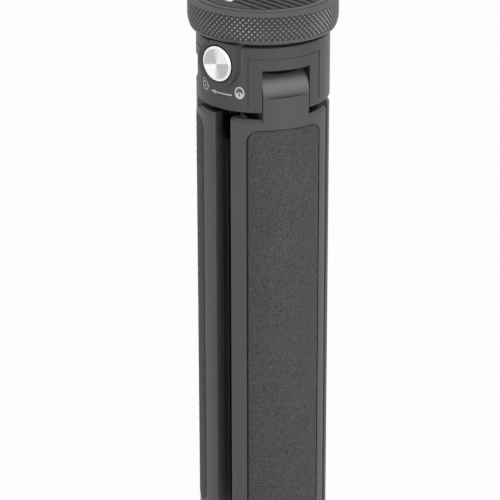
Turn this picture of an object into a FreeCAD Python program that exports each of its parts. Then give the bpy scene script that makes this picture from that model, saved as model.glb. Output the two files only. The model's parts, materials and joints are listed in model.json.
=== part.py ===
# Handheld mini tripod: three hinged legs that close into a round leather-faced grip, a collar that
# carries their hinges and a release button, and a knurled camera head on a bayonet.
# Millimetres. The feet stand on z = 0 and +Z is the axis of the closed grip. The photographed side
# faces -Y, so an azimuth of 0 degrees points along -Y and grows towards +X.
import FreeCAD, Part
import math
import os
import Sketcher
from FreeCAD import Placement, Rotation, Vector

doc = FreeCAD.newDocument("MiniTripod")
sheet = doc.addObject("Spreadsheet::Sheet", "Sizes")


class Size:
    """A length or an angle that carries both its number and the sheet expression that gives it."""

    def __init__(self, value, text=None):
        self.value = value
        self.text = str(value) if text is None else text

    def __add__(self, other):
        other = sized(other)
        return Size(self.value + other.value, f"({self.text} + {other.text})")

    def __sub__(self, other):
        other = sized(other)
        return Size(self.value - other.value, f"({self.text} - {other.text})")

    def __mul__(self, other):
        other = sized(other)
        return Size(self.value * other.value, f"({self.text} * {other.text})")

    def __truediv__(self, other):
        other = sized(other)
        return Size(self.value / other.value, f"({self.text} / {other.text})")

    def __neg__(self):
        return Size(-self.value, f"(0 - {self.text})")

    def __radd__(self, other):
        return sized(other) + self

    def __rsub__(self, other):
        return sized(other) - self

    def __rmul__(self, other):
        return sized(other) * self


def sized(item):
    """Take a plain number as a size of its own."""
    return item if isinstance(item, Size) else Size(item)


def root(item):
    return Size(math.sqrt(item.value), f"sqrt({item.text})")


def sin(angle):
    angle = sized(angle)
    return Size(math.sin(math.radians(angle.value)), f"sin({angle.text})")


def cos(angle):
    angle = sized(angle)
    return Size(math.cos(math.radians(angle.value)), f"cos({angle.text})")


def arctan(rise, run):
    ratio = sized(rise) / run
    return Size(math.degrees(math.atan(ratio.value)), f"(atan({ratio.text}) / 1 deg)")


def cell(name, value, note):
    """Write one driving dimension into the next row of the sheet, and return it as a size."""
    cell.row += 1
    sheet.set(f"A{cell.row}", note)
    sheet.set(f"B{cell.row}", str(value))
    sheet.setAlias(f"B{cell.row}", name)
    return Size(float(value), f"Sizes.{name}")


cell.row = 0

# Grip and legs
grip_r = cell("grip_r", 20.4, "radius of the collar and of the closed legs")
leg_height = cell("leg_height", 150.5, "height of the legs' shoulders above the floor")
leg_turn = cell("leg_turn", 21.45, "azimuth of the front leg's middle")
leg_gap = cell("leg_gap", 5.8, "slot between two closed legs")
leg_flank = cell("leg_flank", 5.816, "width of a leg's side face, along the slot")
leg_wall = cell("leg_wall", 3.0, "outer wall of a leg's channel")
leg_side_wall = cell("leg_side_wall", 2.2, "side walls of a leg's channel")
bevel_depth = cell("bevel_depth", 0.78, "depth of the flat bevel on a leg's long outer corners")
bevel_angle = cell("bevel_angle", 79.0, "angle between that bevel and the slot")
corner_round = cell("corner_round", 0.4, "rounding between that bevel and the slot")
shoulder_bevel = cell("shoulder_bevel", 1.0, "bevel of the shoulder's outer edge")
top_block = cell("top_block", 11.0, "solid length of a leg under its shoulder")
nose_depth = cell("nose_depth", 8.4, "distance of the inner nose of a leg's solid top behind the surface")
nose_inner = cell("nose_inner", 6.0, "distance of that nose's end from the axis")
nose_gap = cell("nose_gap", 1.6, "gap between the noses of two closed legs")
cover_thick = cell("cover_thick", 1.5, "thickness of the inner cover")
cover_fit = cell("cover_fit", 0.05, "clearance of the cover in its dovetail")

# Hinges
collar_gap = cell("collar_gap", 2.3, "opening between the shoulders and the collar")
pin_rise = cell("pin_rise", 4.6, "height of the hinge pins above the collar's lower edge")
pin_depth = cell("pin_depth", 9.5, "distance of a hinge pin behind the grip's surface")
pin_r = cell("pin_r", 2.0, "radius of the hinge pins")
pin_inset = cell("pin_inset", 0.3, "depth of a pin's end below the core's surface")
pin_fit = cell("pin_fit", 0.03, "running clearance of the bush on the pin")
bush_wall = cell("bush_wall", 1.0, "wall of the hinge bush")
knuckle_half = cell("knuckle_half", 7.41, "half the width of a knuckle")
knuckle_gap = cell("knuckle_gap", 0.25, "gap beside a knuckle")
knuckle_r = cell("knuckle_r", 8.2, "radius of a knuckle's front")
knuckle_back_r = cell("knuckle_back_r", 6.0, "radius of a knuckle's back")
knuckle_arc = cell("knuckle_arc", 75.0, "angle of the full front, counted up from its crease")
crease_drop = cell("crease_drop", 3.6, "height of the slanted facet below the crease")
ceiling_gap = cell("ceiling_gap", 0.55, "gap over a knuckle")
open_angle = cell("open_angle", 60.0, "angle through which a leg swings out")
stop_gap = cell("stop_gap", 0.2, "gap left at the leg stop")
stop_drop = cell("stop_drop", 3.6, "depth of the leg stop below the deck")
sweep_gap = cell("sweep_gap", 0.55, "gap between a swinging shoulder and the collar")
sweep_angle = cell("sweep_angle", 47.3, "half the angle that a swinging shoulder covers")
washer_r = cell("washer_r", 4.6, "radius of the friction washers")
washer_thick = cell("washer_thick", 1.1, "thickness of the friction washers")
washer_proud = cell("washer_proud", 0.15, "washer standing proud of the knuckle")

# Leather pads and feet
pad_angle = cell("pad_angle", 35.8, "half the angle that a pad covers")
pad_drop = cell("pad_drop", 3.1, "distance of a pad's top below the shoulder")
pad_low = cell("pad_low", 16.0, "height of a pad's lower end above the floor")
pad_corner = cell("pad_corner", 3.8, "corner radius of a pad")
pad_sink = cell("pad_sink", 1.0, "depth of the pad's recess")
pad_proud = cell("pad_proud", 0.15, "pad standing proud of the leg")
pad_edge = cell("pad_edge", 0.15, "gap round a pad")
foot_height = cell("foot_height", 9.0, "height of the rubber foot")
foot_inset = cell("foot_inset", 0.2, "foot standing back from the leg's surface")
foot_round = cell("foot_round", 2.4, "rounding of the foot's lower edge")
foot_screw_depth = cell("foot_screw_depth", 6.4, "distance of the foot screw behind the grip's surface")
foot_screw_r = cell("foot_screw_r", 1.5, "radius of the foot screw")
foot_head_r = cell("foot_head_r", 2.8, "radius of the foot screw's head")
foot_head_tall = cell("foot_head_tall", 2.0, "height of the foot screw's head")
foot_head_sink = cell("foot_head_sink", 2.5, "depth of the head inside the foot")
insert_tall = cell("insert_tall", 8.0, "height of the block that the foot screw holds on to")

# Collar
wall_height = cell("wall_height", 20.6, "height of the collar wall")
shell_wall = cell("shell_wall", 2.7, "wall of the collar shell")
core_fit = cell("core_fit", 0.2, "clearance between core and shell")
core_lift = cell("core_lift", 0.4, "core standing back from the collar's lower edge")
shell_flange = cell("shell_flange", 1.6, "thickness of the shell's inner flange")
flange_wide = cell("flange_wide", 2.75, "width of that flange")
shell_bevel = cell("shell_bevel", 0.25, "bevel of the shell's edges")
frame_angle = cell("frame_angle", 34.8, "half the angle of the lined frame round a window")
frame_rise = cell("frame_rise", 3.85, "height of that frame's top line above the window")
frame_foot = cell("frame_foot", 2.1, "height of that frame's lower ends above the collar's edge")
line_wide = cell("line_wide", 0.4, "width of the frame's line")
line_deep = cell("line_deep", 0.2, "depth of the frame's line")
shell_screw_in = cell("shell_screw_in", 1.45, "distance of the shell screws inside the shell's wall")
shell_screw_r = cell("shell_screw_r", 0.9, "radius of the shell screws")
shell_head_r = cell("shell_head_r", 1.25, "radius of the shell screws' heads")
shell_head_tall = cell("shell_head_tall", 0.9, "height of those heads")
shell_screw_long = cell("shell_screw_long", 4.0, "length of the shell screws' shanks")
shell_screw_fit = cell("shell_screw_fit", 0.02, "clearance round those heads")

# Release button
button_rise = cell("button_rise", 14.7, "height of the button's axis above the collar's lower edge")
boss_proud = cell("boss_proud", 1.6, "boss's face standing out of the collar")
boss_r = cell("boss_r", 7.2, "radius of the boss")
boss_rise = cell("boss_rise", 6.9, "height of the boss's top above the button's axis")
boss_fillet = cell("boss_fillet", 1.2, "fillet where the boss meets the collar")
cap_r = cell("cap_r", 5.4, "radius of the button")
cap_proud = cell("cap_proud", 0.4, "button standing out of its boss")
cap_bevel = cell("cap_bevel", 0.32, "height of the bevel of the button's edge")
cap_bevel_in = cell("cap_bevel_in", 0.7, "width of that bevel")
cap_gap = cell("cap_gap", 0.45, "dark gap round the button")
cap_floor = cell("cap_floor", 2.0, "thickness of the button's face")
cap_bore_r = cell("cap_bore_r", 3.1, "radius of the button's spring hole")
guide_fit = cell("guide_fit", 0.05, "running clearance of the button in its guide")
guide_sink = cell("guide_sink", 1.0, "guide standing back from the boss's face")
travel = cell("travel", 1.8, "travel of the button")
latch_thick = cell("latch_thick", 1.0, "thickness of the latch plate")
latch_r = cell("latch_r", 5.75, "radius of the latch plate")
latch_gap = cell("latch_gap", 0.1, "gap between latch plate and guide")
latch_room = cell("latch_room", 0.2, "gap round the latch plate")
tooth_half = cell("tooth_half", 2.0, "half the width of the latch tooth")
tooth_rise = cell("tooth_rise", 8.9, "height of the tooth's tip above the button's axis")
spring_r = cell("spring_r", 2.3, "mean radius of the button spring")
spring_wire = cell("spring_wire", 0.5, "wire of the button spring")
spring_turns = cell("spring_turns", 4, "turns of the button spring")
latch_screw_reach = cell("latch_screw_reach", 4.25, "distance of the latch screws from the button's axis")
latch_screw_r = cell("latch_screw_r", 0.5, "radius of the latch screws")
latch_head_r = cell("latch_head_r", 0.9, "radius of the latch screws' heads")
latch_screw_long = cell("latch_screw_long", 3.0, "length of the latch screws")

# Head
head_gap = cell("head_gap", 1.4, "open band between the collar wall and the knurled ring")
ring_over = cell("ring_over", 2.68, "knurled ring standing out past the collar")
ring_height = cell("ring_height", 9.7, "height of the knurled ring")
ring_wall = cell("ring_wall", 1.95, "wall of the knurled ring")
ring_lip_wide = cell("ring_lip_wide", 2.83, "width of the ring's lower lip inside that wall")
ring_lip_tall = cell("ring_lip_tall", 1.2, "height of that lip")
ring_round_in = cell("ring_round_in", 1.15, "how far the ring's lower rounding draws in")
ring_round_tall = cell("ring_round_tall", 3.6, "height of the ring's lower rounding")
ring_land = cell("ring_land", 0.1, "flat of the ring's top inside its upper bevel")
ring_bevel_tall = cell("ring_bevel_tall", 0.9, "height of the ring's upper bevel")
plate_fit = cell("plate_fit", 0.05, "clearance between top plate and ring")
plate_rise = cell("plate_rise", 0.5, "top plate standing above the ring")
plate_bevel = cell("plate_bevel", 0.4, "bevel of the top plate's edge")
plate_rim = cell("plate_rim", 1.7, "rim of the top plate round the grooved rubber pad")
grip_pad_gap = cell("grip_pad_gap", 0.05, "gap round the grooved pad")
grip_pad_sink = cell("grip_pad_sink", 1.5, "depth of the grooved pad's recess")
grip_pad_proud = cell("grip_pad_proud", 0.2, "grooved pad standing above the plate")
rib_pitch = cell("rib_pitch", 2.8, "distance between the pad's grooves")
rib_groove = cell("rib_groove", 1.1, "width of the pad's grooves")
rib_depth = cell("rib_depth", 0.6, "depth of the pad's grooves")
rib_angle = cell("rib_angle", -48.0, "direction of the pad's grooves from +X")
rib_rows = cell("rib_rows", 5, "grooves on each side of the middle one")
latch_groove_room = cell("latch_groove_room", 0.4, "room beside the latch tooth in its groove")
latch_groove_deep = cell("latch_groove_deep", 1.2, "depth of that groove in the top plate")
hub_fit = cell("hub_fit", 0.1, "running clearance of the hub in the core")
hub_flange_over = cell("hub_flange_over", 0.8, "hub's flange standing out past its lugs")
hub_flange_gap = cell("hub_flange_gap", 0.3, "gap between the hub's flange and the collar wall")
track_wall = cell("track_wall", 1.05, "core's wall round the bayonet track")
lug_deep = cell("lug_deep", 1.8, "bayonet lugs standing out of the hub")
lug_fit = cell("lug_fit", 0.3, "clearance round the bayonet lugs")
lug_tall = cell("lug_tall", 1.6, "height of the bayonet lugs")
lug_angle = cell("lug_angle", 24.0, "angle of a bayonet lug")
entry_angle = cell("entry_angle", 28.0, "angle of a lug's entry notch")
unlock_angle = cell("unlock_angle", 30.0, "turn between locked and free")
track_lip = cell("track_lip", 1.8, "thickness of the core's lip over the lugs")
core_top_drop = cell("core_top_drop", 0.4, "core's top below the collar wall's top")
wave_thick = cell("wave_thick", 0.5, "height of the wave washer")
wave_fit = cell("wave_fit", 0.2, "wave washer's edge inside the hub's")
wave_wide = cell("wave_wide", 2.6, "width of the wave washer")
slide_gap = cell("slide_gap", 0.05, "gap beside each sliding face of the head")
hub_screw_in = cell("hub_screw_in", 2.9, "distance of the hub screws inside the hub's edge")
hub_screw_r = cell("hub_screw_r", 1.25, "radius of the hub screws")
hub_head_r = cell("hub_head_r", 2.2, "radius of the hub screws' heads")
hub_head_tall = cell("hub_head_tall", 2.0, "height of the hub screws' heads")
hub_screw_long = cell("hub_screw_long", 9.0, "length of the hub screws")
ring_screw_in = cell("ring_screw_in", 1.63, "distance of the ring screws inside the ring's wall")
ring_screw_r = cell("ring_screw_r", 0.7, "radius of the ring screws")
ring_head_r = cell("ring_head_r", 1.1, "radius of the ring screws' heads")
ring_head_tall = cell("ring_head_tall", 0.6, "height of the ring screws' heads")
ring_screw_long = cell("ring_screw_long", 5.0, "length of the ring screws")

# Camera screw and studs: 1/4 inch thread
screw_r = cell("screw_r", 3.175, "radius of the camera screw")
screw_neck = cell("screw_neck", 0.25, "camera screw's neck standing proud of its thread")
screw_proud = cell("screw_proud", 5.5, "camera screw standing above the grooved pad")
screw_head_in = cell("screw_head_in", 5.4, "hub's edge standing out past the camera screw's head")
screw_head_tall = cell("screw_head_tall", 3.4, "height of the camera screw's head")
screw_bevel = cell("screw_bevel", 0.5, "bevel of the camera screw's tip")
screw_fit = cell("screw_fit", 0.1, "clearance round the camera screw")
stud_r = cell("stud_r", 1.5, "radius of the anti-twist studs")
stud_in = cell("stud_in", 4.6, "distance of the studs inside the grooved pad's edge")
stud_angle = cell("stud_angle", -43.0, "azimuth of the first stud")
stud_long = cell("stud_long", 5.0, "length of the studs")
stud_proud = cell("stud_proud", 0.6, "studs standing above the grooved pad")
stud_round = cell("stud_round", 0.4, "rounding of the studs' tips")

LEG_COUNT = 3
# Radii and distances from the axis, worked out from the grip's surface inwards
third_turn = sized(360) / LEG_COUNT
button_angle = leg_turn - third_turn / 2
leg_inner = ((root(grip_r * grip_r - leg_gap * leg_gap / 4) - leg_flank) * cos(third_turn / 2)
             + leg_gap / 2 * sin(third_turn / 2))
pin_reach = grip_r - pin_depth
foot_screw_reach = grip_r - foot_screw_depth
shell_inner = grip_r - shell_wall
core_r = shell_inner - core_fit
flange_r = shell_inner - flange_wide
shell_screw_reach = shell_inner - shell_screw_in
boss_reach = grip_r + boss_proud
latch_outer = shell_inner - latch_gap
latch_inner = latch_outer - latch_thick
ring_r = grip_r + ring_over
ring_inner_r = ring_r - ring_wall
ring_lip_r = ring_inner_r - ring_lip_wide
ring_screw_reach = ring_inner_r - ring_screw_in
plate_r = ring_inner_r - plate_fit
grip_pad_r = plate_r - plate_rim - grip_pad_gap
stud_reach = grip_pad_r - stud_in
track_r = flange_r - core_fit - track_wall
lug_r = track_r - lug_fit
hub_r = lug_r - lug_deep
hub_flange_r = lug_r + hub_flange_over
hub_screw_reach = hub_r - hub_screw_in
screw_head_r = hub_r - screw_head_in
wave_r = hub_r - wave_fit

# Heights worked out from the sizes
collar_z = leg_height + collar_gap
pin_z = collar_z + pin_rise
wall_top = collar_z + wall_height
pocket_half = knuckle_half + knuckle_gap
deck_z = pin_z + knuckle_r + ceiling_gap
shell_head_z = wall_top - shell_head_tall - shell_bevel / 2
button_z = collar_z + button_rise
core_top = wall_top - core_top_drop
core_step = wall_top - shell_flange
ring_z = wall_top + head_gap
plate_z = ring_z + ring_lip_tall
plate_top = ring_z + ring_height + plate_rise
pad_top = plate_top + grip_pad_proud
track_top = core_top - track_lip
lug_top = track_top - slide_gap
lug_z = lug_top - lug_tall
hub_z = lug_z
bore_floor = hub_z - slide_gap - wave_thick
far = grip_r * 2
over = leg_wall / 3
LEGS = (("front", leg_turn), ("right_rear", leg_turn + third_turn), ("left", leg_turn - third_turn))


def tie(obj, **places):
    """Bind an object's properties to expressions on the sheet."""
    for name, size in places.items():
        obj.setExpression(name, sized(size).text)
    return obj


def place(obj, x=0, y=0, low=0):
    """Bind an object's place."""
    for axis, size in zip("xyz", (x, y, low)):
        obj.setExpression(f"Placement.Base.{axis}", sized(size).text)
    return obj


def block(name, left, right, front, back, low, high, angle=0, pivot=(0, 0)):
    """A box given by its x, y and z limits in a frame that is turned about Z at a pivot."""
    left, right, front, back = (sized(size) for size in (left, right, front, back))
    box = doc.addObject("Part::Box", name)
    tie(box, Length=right - left, Width=back - front, Height=sized(high) - low)
    box.setExpression("Placement.Rotation.Angle", sized(angle).text)
    x = left * cos(angle) - front * sin(angle) + pivot[0]
    y = left * sin(angle) + front * cos(angle) + pivot[1]
    return place(box, x, y, low)


def rod(name, radius, low, high, x=0, y=0):
    """An upright cylinder."""
    cylinder = doc.addObject("Part::Cylinder", name)
    tie(cylinder, Radius=radius, Height=sized(high) - low)
    return place(cylinder, x, y, low)


def arc_rod(name, radius, low, high, angle, middle):
    """An upright sector of a cylinder, its middle at an azimuth."""
    cylinder = rod(name, radius, low, high)
    tie(cylinder, Angle=angle)
    cylinder.setExpression("Placement.Rotation.Angle", (sized(middle) - 90 - sized(angle) / 2).text)
    return cylinder


def reach_rod(name, radius, inner, outer, low, x=0):
    """A cylinder that points out of the front, between two distances from the axis."""
    cylinder = doc.addObject("Part::Cylinder", name)
    cylinder.Placement = Placement(Vector(), Rotation(Vector(1, 0, 0), 90))
    tie(cylinder, Radius=radius, Height=sized(outer) - inner)
    return place(cylinder, x, -sized(inner), low)


def cross_rod(name, radius, left, right, reach=pin_reach, low=pin_z):
    """A cylinder along X on a hinge line."""
    cylinder = doc.addObject("Part::Cylinder", name)
    cylinder.Placement = Placement(Vector(), Rotation(Vector(0, 1, 0), 90))
    tie(cylinder, Radius=radius, Height=sized(right) - left)
    return place(cylinder, left, -sized(reach), low)


def cut(name, base, *tools):
    """Take tools away from a base, one after the other."""
    for number, tool in enumerate(tools):
        step = doc.addObject("Part::Cut", name if tool is tools[-1] else f"{name}_less_{number}")
        step.Base = base
        step.Tool = tool
        base = step
    return base


def fuse(name, *pieces):
    joined = doc.addObject("Part::MultiFuse", name)
    joined.Shapes = list(pieces)
    joined.Refine = True
    return joined


def common(name, *pieces):
    shared = doc.addObject("Part::MultiCommon", name)
    shared.Shapes = list(pieces)
    return shared


def group(name, *pieces):
    """Several solids as one object."""
    compound = doc.addObject("Part::Compound", name)
    compound.Links = list(pieces)
    return compound


def turned(name, piece, azimuth):
    """A piece that is modelled facing the front, turned to its azimuth."""
    compound = group(name, piece)
    compound.setExpression("Placement.Rotation.Angle", sized(azimuth).text)
    return compound


def thirds(name, piece, azimuth=leg_turn):
    """Three copies of a piece, a third of a turn apart."""
    return group(name, *(turned(f"{name}_{number}", piece, azimuth + third_turn * number)
                         for number in range(LEG_COUNT)))


def softened(name, base, size, pick, kind="Part::Fillet"):
    """Round or bevel the edges that pick chooses."""
    doc.recompute()
    chosen = [number for number, edge in enumerate(base.Shape.Edges, 1) if pick(edge)]
    if not chosen:
        raise RuntimeError(f"{name} has no edge to soften")
    edged = doc.addObject(kind, name)
    edged.Base = base
    edged.Edges = [(number, size.value, size.value) for number in chosen]
    return edged


def at_height(edge, height):
    box = edge.BoundBox
    return abs(box.ZMin - height.value) < 1e-4 and abs(box.ZMax - height.value) < 1e-4


def lathe(name, outline):
    """A body turned round Z from (radius, height) points; a third item is the arc radius to the next."""
    body = doc.addObject("PartDesign::Body", name)
    sketch = body.newObject("Sketcher::SketchObject", f"{name}_outline")
    plane = next(item for item in body.Origin.OriginFeatures if item.Role == "XZ_Plane")
    sketch.AttachmentSupport = [(plane, "")]
    sketch.MapMode = "FlatFace"
    points = [Vector(sized(point[0]).value, sized(point[1]).value, 0) for point in outline]
    count = len(points)
    for number, point in enumerate(outline):
        start, end = points[number], points[(number + 1) % count]
        if len(point) == 3:
            bend = point[2].value
            middle = (start + end) * 0.5
            half = (end - start).Length / 2
            across = Vector(-(end - start).y, (end - start).x, 0).normalize()
            bow = middle - across * (bend - math.sqrt(bend ** 2 - half ** 2))
            sketch.addGeometry(Part.Arc(start, bow, end))
        else:
            sketch.addGeometry(Part.LineSegment(start, end))
    for number in range(count):
        join_next(sketch, number, (number + 1) % count)
    for number, point in enumerate(outline):
        pin_corner(sketch, number, sized(point[0]), sized(point[1]))
        if len(point) == 3:
            index = sketch.addConstraint(Sketcher.Constraint("Radius", number, point[2].value))
            sketch.setExpression(f"Constraints[{index}]", point[2].text)
    turn = body.newObject("PartDesign::Revolution", f"{name}_turn")
    turn.Profile = sketch
    turn.ReferenceAxis = (sketch, ["V_Axis"])
    turn.Angle = 360
    body.Tip = turn
    return body


def join_next(sketch, number, following):
    """Join the end of one piece of an outline to the start of the next."""
    first = sketch.Geometry[number]
    second = sketch.Geometry[following]
    for end, point in ((1, first.StartPoint), (2, first.EndPoint)):
        for start, other in ((1, second.StartPoint), (2, second.EndPoint)):
            if point.isEqual(other, 1e-6):
                sketch.addConstraint(Sketcher.Constraint("Coincident", number, end, following, start))
                return


def pin_corner(sketch, number, radius, height):
    """Bind one corner of an outline to its radius and height."""
    piece = sketch.Geometry[number]
    target = Vector(radius.value, height.value, 0)
    end = 1 if piece.StartPoint.isEqual(target, 1e-6) else 2
    if radius.value == 0:
        sketch.addConstraint(Sketcher.Constraint("PointOnObject", number, end, -2))
    else:
        index = sketch.addConstraint(Sketcher.Constraint("DistanceX", -1, 1, number, end, radius.value))
        sketch.setExpression(f"Constraints[{index}]", radius.text)
    index = sketch.addConstraint(Sketcher.Constraint("DistanceY", -1, 1, number, end, height.value))
    sketch.setExpression(f"Constraints[{index}]", height.text)


def beyond_gap(name, side, half_gap, low, high):
    """Everything past one of a leg's two gap planes; side is 1 on the right and -1 on the left."""
    left, right = (-half_gap, far) if side > 0 else (-far, half_gap)
    return block(name, left, right, -far, far, low, high, angle=third_turn / 2 * side)


def third_of_grip(name, radius, half_gap, inner, low, high):
    """A third of the round grip, facing the front, between its gap planes and its inner face."""
    return cut(
        name,
        rod(f"{name}_round", radius, low, high),
        block(f"{name}_middle", -far, far, -inner, far, low - over, high + over),
        beyond_gap(f"{name}_right", 1, half_gap, low - over, high + over),
        beyond_gap(f"{name}_left", -1, half_gap, low - over, high + over),
    )


def bevel_cutter(name, side, low, high):
    """What the flat bevel takes off one of a leg's long outer corners."""
    depth = grip_r - bevel_depth
    across = -leg_gap / 2 * side
    half = third_turn / 2
    pivot = (across * cos(half) + depth * sin(half) * side, across * sin(half) * side - depth * cos(half))
    left, right = (0, bevel_depth * 2) if side > 0 else (-bevel_depth * 2, 0)
    return block(name, left, right, -bevel_depth * 4, 0, low, high, angle=(half - bevel_angle) * side,
                 pivot=pivot)


def sweep_r(across):
    """The reach of the collar's lower edge from a hinge line, at a distance across it."""
    reach = root(grip_r * grip_r - across * across) - pin_reach
    return root(reach * reach + pin_rise * pin_rise) + sweep_gap


def shoulder_cone(name, side):
    """The room that a swinging shoulder needs beside its knuckle."""
    inner = pocket_half
    outer = grip_r * sin(sweep_angle)
    cone = doc.addObject("Part::Cone", name)
    cone.Placement = Placement(Vector(), Rotation(Vector(0, 1, 0), 90 * side))
    tie(cone, Radius1=sweep_r(inner), Radius2=sweep_r(outer), Height=outer - knuckle_half)
    return place(cone, knuckle_half * side, -pin_reach, pin_z)


def knuckle():
    """The tongue and barrel that join a leg to its hinge pin, with the slanted facet at the front."""
    full = doc.addObject("Part::Cylinder", "knuckle_front")
    full.Placement = Placement(Vector(), Rotation(Vector(0, -1, 0), Vector(0, 0, 1), Vector(-1, 0, 0), "XYZ"))
    tie(full, Radius=knuckle_r, Height=knuckle_half * 2, Angle=knuckle_arc)
    place(full, knuckle_half, -pin_reach, pin_z)
    back = cross_rod("knuckle_back", knuckle_back_r, -knuckle_half, knuckle_half)
    neck = block("knuckle_neck", -knuckle_half, knuckle_half, -far, -leg_inner,
                 leg_height - top_block / 2, pin_z)
    facet = doc.addObject("Part::Box", "knuckle_facet")
    lean = arctan(grip_r - pin_reach - knuckle_r, crease_drop)
    facet.Placement = Placement(Vector(), Rotation(Vector(1, 0, 0), -1))
    facet.setExpression("Placement.Rotation.Angle", lean.text)
    tie(facet, Length=far, Width=top_block, Height=top_block)
    drop = -pin_reach - knuckle_r - top_block * cos(lean) - top_block * sin(lean)
    place(facet, -grip_r, drop, pin_z + top_block * sin(lean) - top_block * cos(lean))
    return fuse("knuckle", full, back, cut("knuckle_faced", neck, facet))


def pad_tool(name, shrink):
    """The rounded block that cuts the pad's outline through the leg's surface."""
    half = grip_r * sin(pad_angle) - shrink
    plain = block(f"{name}_plain", -half, half, -far, -leg_inner, pad_low + shrink,
                  leg_height - pad_drop - shrink)
    return softened(name, plain, pad_corner - shrink, runs_along_y)


def runs_along_y(edge):
    return abs(edge.tangentAt(edge.FirstParameter).y) > 0.999


def is_upright(edge):
    return abs(edge.tangentAt(edge.FirstParameter).z) > 0.999


def on_radius(point, radius):
    return abs(math.hypot(point.x, point.y) - radius.value) < 1e-3


def leg_frame():
    """An aluminium channel with its knuckle, shoulder, pad recess and hinge bore."""
    low = foot_height
    body = third_of_grip("leg_body", grip_r, leg_gap / 2, leg_inner, low, leg_height)
    bevels = [bevel_cutter(f"leg_bevel_{side}", side, low - over, leg_height + over) for side in (1, -1)]
    nose = third_of_grip("leg_nose", grip_r - nose_depth, nose_gap / 2, nose_inner,
                         leg_height - top_block, leg_height)
    opened = fuse("leg_nosed", cut("leg_opened", body, *bevels), nose)
    bevel_start = grip_r - bevel_depth

    def shoulder_edge(edge):
        middle = edge.valueAt((edge.FirstParameter + edge.LastParameter) / 2)
        return at_height(edge, leg_height) and math.hypot(middle.x, middle.y) > bevel_start.value

    shouldered = softened("leg_shouldered", opened, shoulder_bevel, shoulder_edge, "Part::Chamfer")
    corner_reach = root(bevel_start * bevel_start + leg_gap * leg_gap / 4)

    def long_corner(edge):
        return is_upright(edge) and on_radius(edge.CenterOfMass, corner_reach)

    beveled = softened("leg_rounded", shouldered, corner_round, long_corner)
    cones = [shoulder_cone(f"leg_cone_{side}", side) for side in (1, -1)]
    cleared = cut("leg_cleared", beveled, *cones)
    joined = fuse("leg_joined", cleared, knuckle())
    trimmed = common("leg_trimmed", joined, rod("leg_envelope", grip_r, low, wall_top))
    channel = third_of_grip("leg_channel", grip_r - leg_wall, leg_gap / 2 + leg_side_wall,
                            leg_inner - over, low - over, leg_height - top_block)
    recess = cut("pad_recess", pad_tool("pad_recess_tool", Size(0)),
                 rod("pad_floor", grip_r - pad_sink, pad_low - over, leg_height))
    bore = cross_rod("hinge_bore", pin_r + pin_fit + bush_wall, -knuckle_half - over, knuckle_half + over)
    sink = washer_thick - washer_proud
    seats = [
        cross_rod("washer_seat_left", washer_r, -knuckle_half - over, -knuckle_half + sink),
        cross_rod("washer_seat_right", washer_r, knuckle_half - sink, knuckle_half + over),
    ]
    return cut("leg_frame", trimmed, channel, recess, bore, *seats)


def leather_pad():
    """The plain solid of the leather that faces a leg."""
    tool = pad_tool("leather_tool", pad_edge)
    outer = rod("leather_outer", grip_r + pad_proud, pad_low, leg_height)
    inner = rod("leather_inner", grip_r - pad_sink, pad_low - over, leg_height)
    return cut("leather_pad", common("leather_block", tool, outer), inner)


def inner_cover():
    """The strip that slides up the dovetail of a leg's channel."""
    half_gap = leg_gap / 2 + leg_side_wall + cover_fit
    strip = third_of_grip("cover_strip", grip_r - leg_wall, half_gap, leg_inner, foot_height,
                          leg_height - top_block)
    return cut("inner_cover", strip, block("cover_back", -far, far, -far, -leg_inner - cover_thick,
                                           foot_height - over, leg_height))


def foot_insert():
    """The block in the channel's end that the foot screw holds on to."""
    half_gap = leg_gap / 2 + leg_side_wall + cover_fit
    plug = third_of_grip("insert_plug", grip_r - leg_wall - cover_fit, half_gap,
                         leg_inner + cover_thick + cover_fit, foot_height, foot_height + insert_tall)
    hole = rod("insert_hole", foot_screw_r, foot_height - over, foot_height + insert_tall + over,
               y=-foot_screw_reach)
    return cut("foot_insert", plug, hole)


def foot():
    """The rubber foot, rounded where it meets the ground with the leg swung out."""
    sector = third_of_grip("foot_sector", grip_r - foot_inset, leg_gap / 2 + foot_inset,
                           leg_inner + foot_inset, 0, foot_height)
    rounded = softened("foot_rounded", sector, foot_round, lambda edge: at_height(edge, Size(0)))
    shank = rod("foot_hole", foot_screw_r, -over, foot_height + over, y=-foot_screw_reach)
    well = rod("foot_well", foot_head_r, -over, foot_head_sink + foot_head_tall, y=-foot_screw_reach)
    return cut("foot", rounded, shank, well)


def foot_screw():
    """The screw that holds a foot to its leg."""
    head = rod("foot_screw_head", foot_head_r, foot_head_sink, foot_head_sink + foot_head_tall,
               y=-foot_screw_reach)
    shank = rod("foot_screw_shank", foot_screw_r, foot_head_sink, foot_height + insert_tall - over,
                y=-foot_screw_reach)
    return fuse("foot_screw", head, shank)


def hinge_bush():
    """The plain bush that turns on the hinge pin."""
    half = knuckle_half - washer_thick + washer_proud
    outer = cross_rod("bush_outer", pin_r + pin_fit + bush_wall, -half, half)
    return cut("hinge_bush", outer, cross_rod("bush_bore", pin_r + pin_fit, -half - over, half + over))


def friction_washers():
    """The pair of washers that brake a leg between the walls of its pocket."""
    outer = knuckle_half + washer_proud
    rings = []
    for name, left, right in (("left", -outer, washer_thick - outer), ("right", outer - washer_thick, outer)):
        disc = cross_rod(f"washer_{name}_disc", washer_r, left, right)
        hole = cross_rod(f"washer_{name}_hole", pin_r + pin_fit, left - over, right + over)
        rings.append(cut(f"washer_{name}", disc, hole))
    return group("friction_washers", *rings)


def pockets(name):
    """The three open-bottomed pockets of the knuckles."""
    return thirds(name, block(f"{name}_one", -pocket_half, pocket_half, -far, 0, collar_z - over, deck_z))


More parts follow.
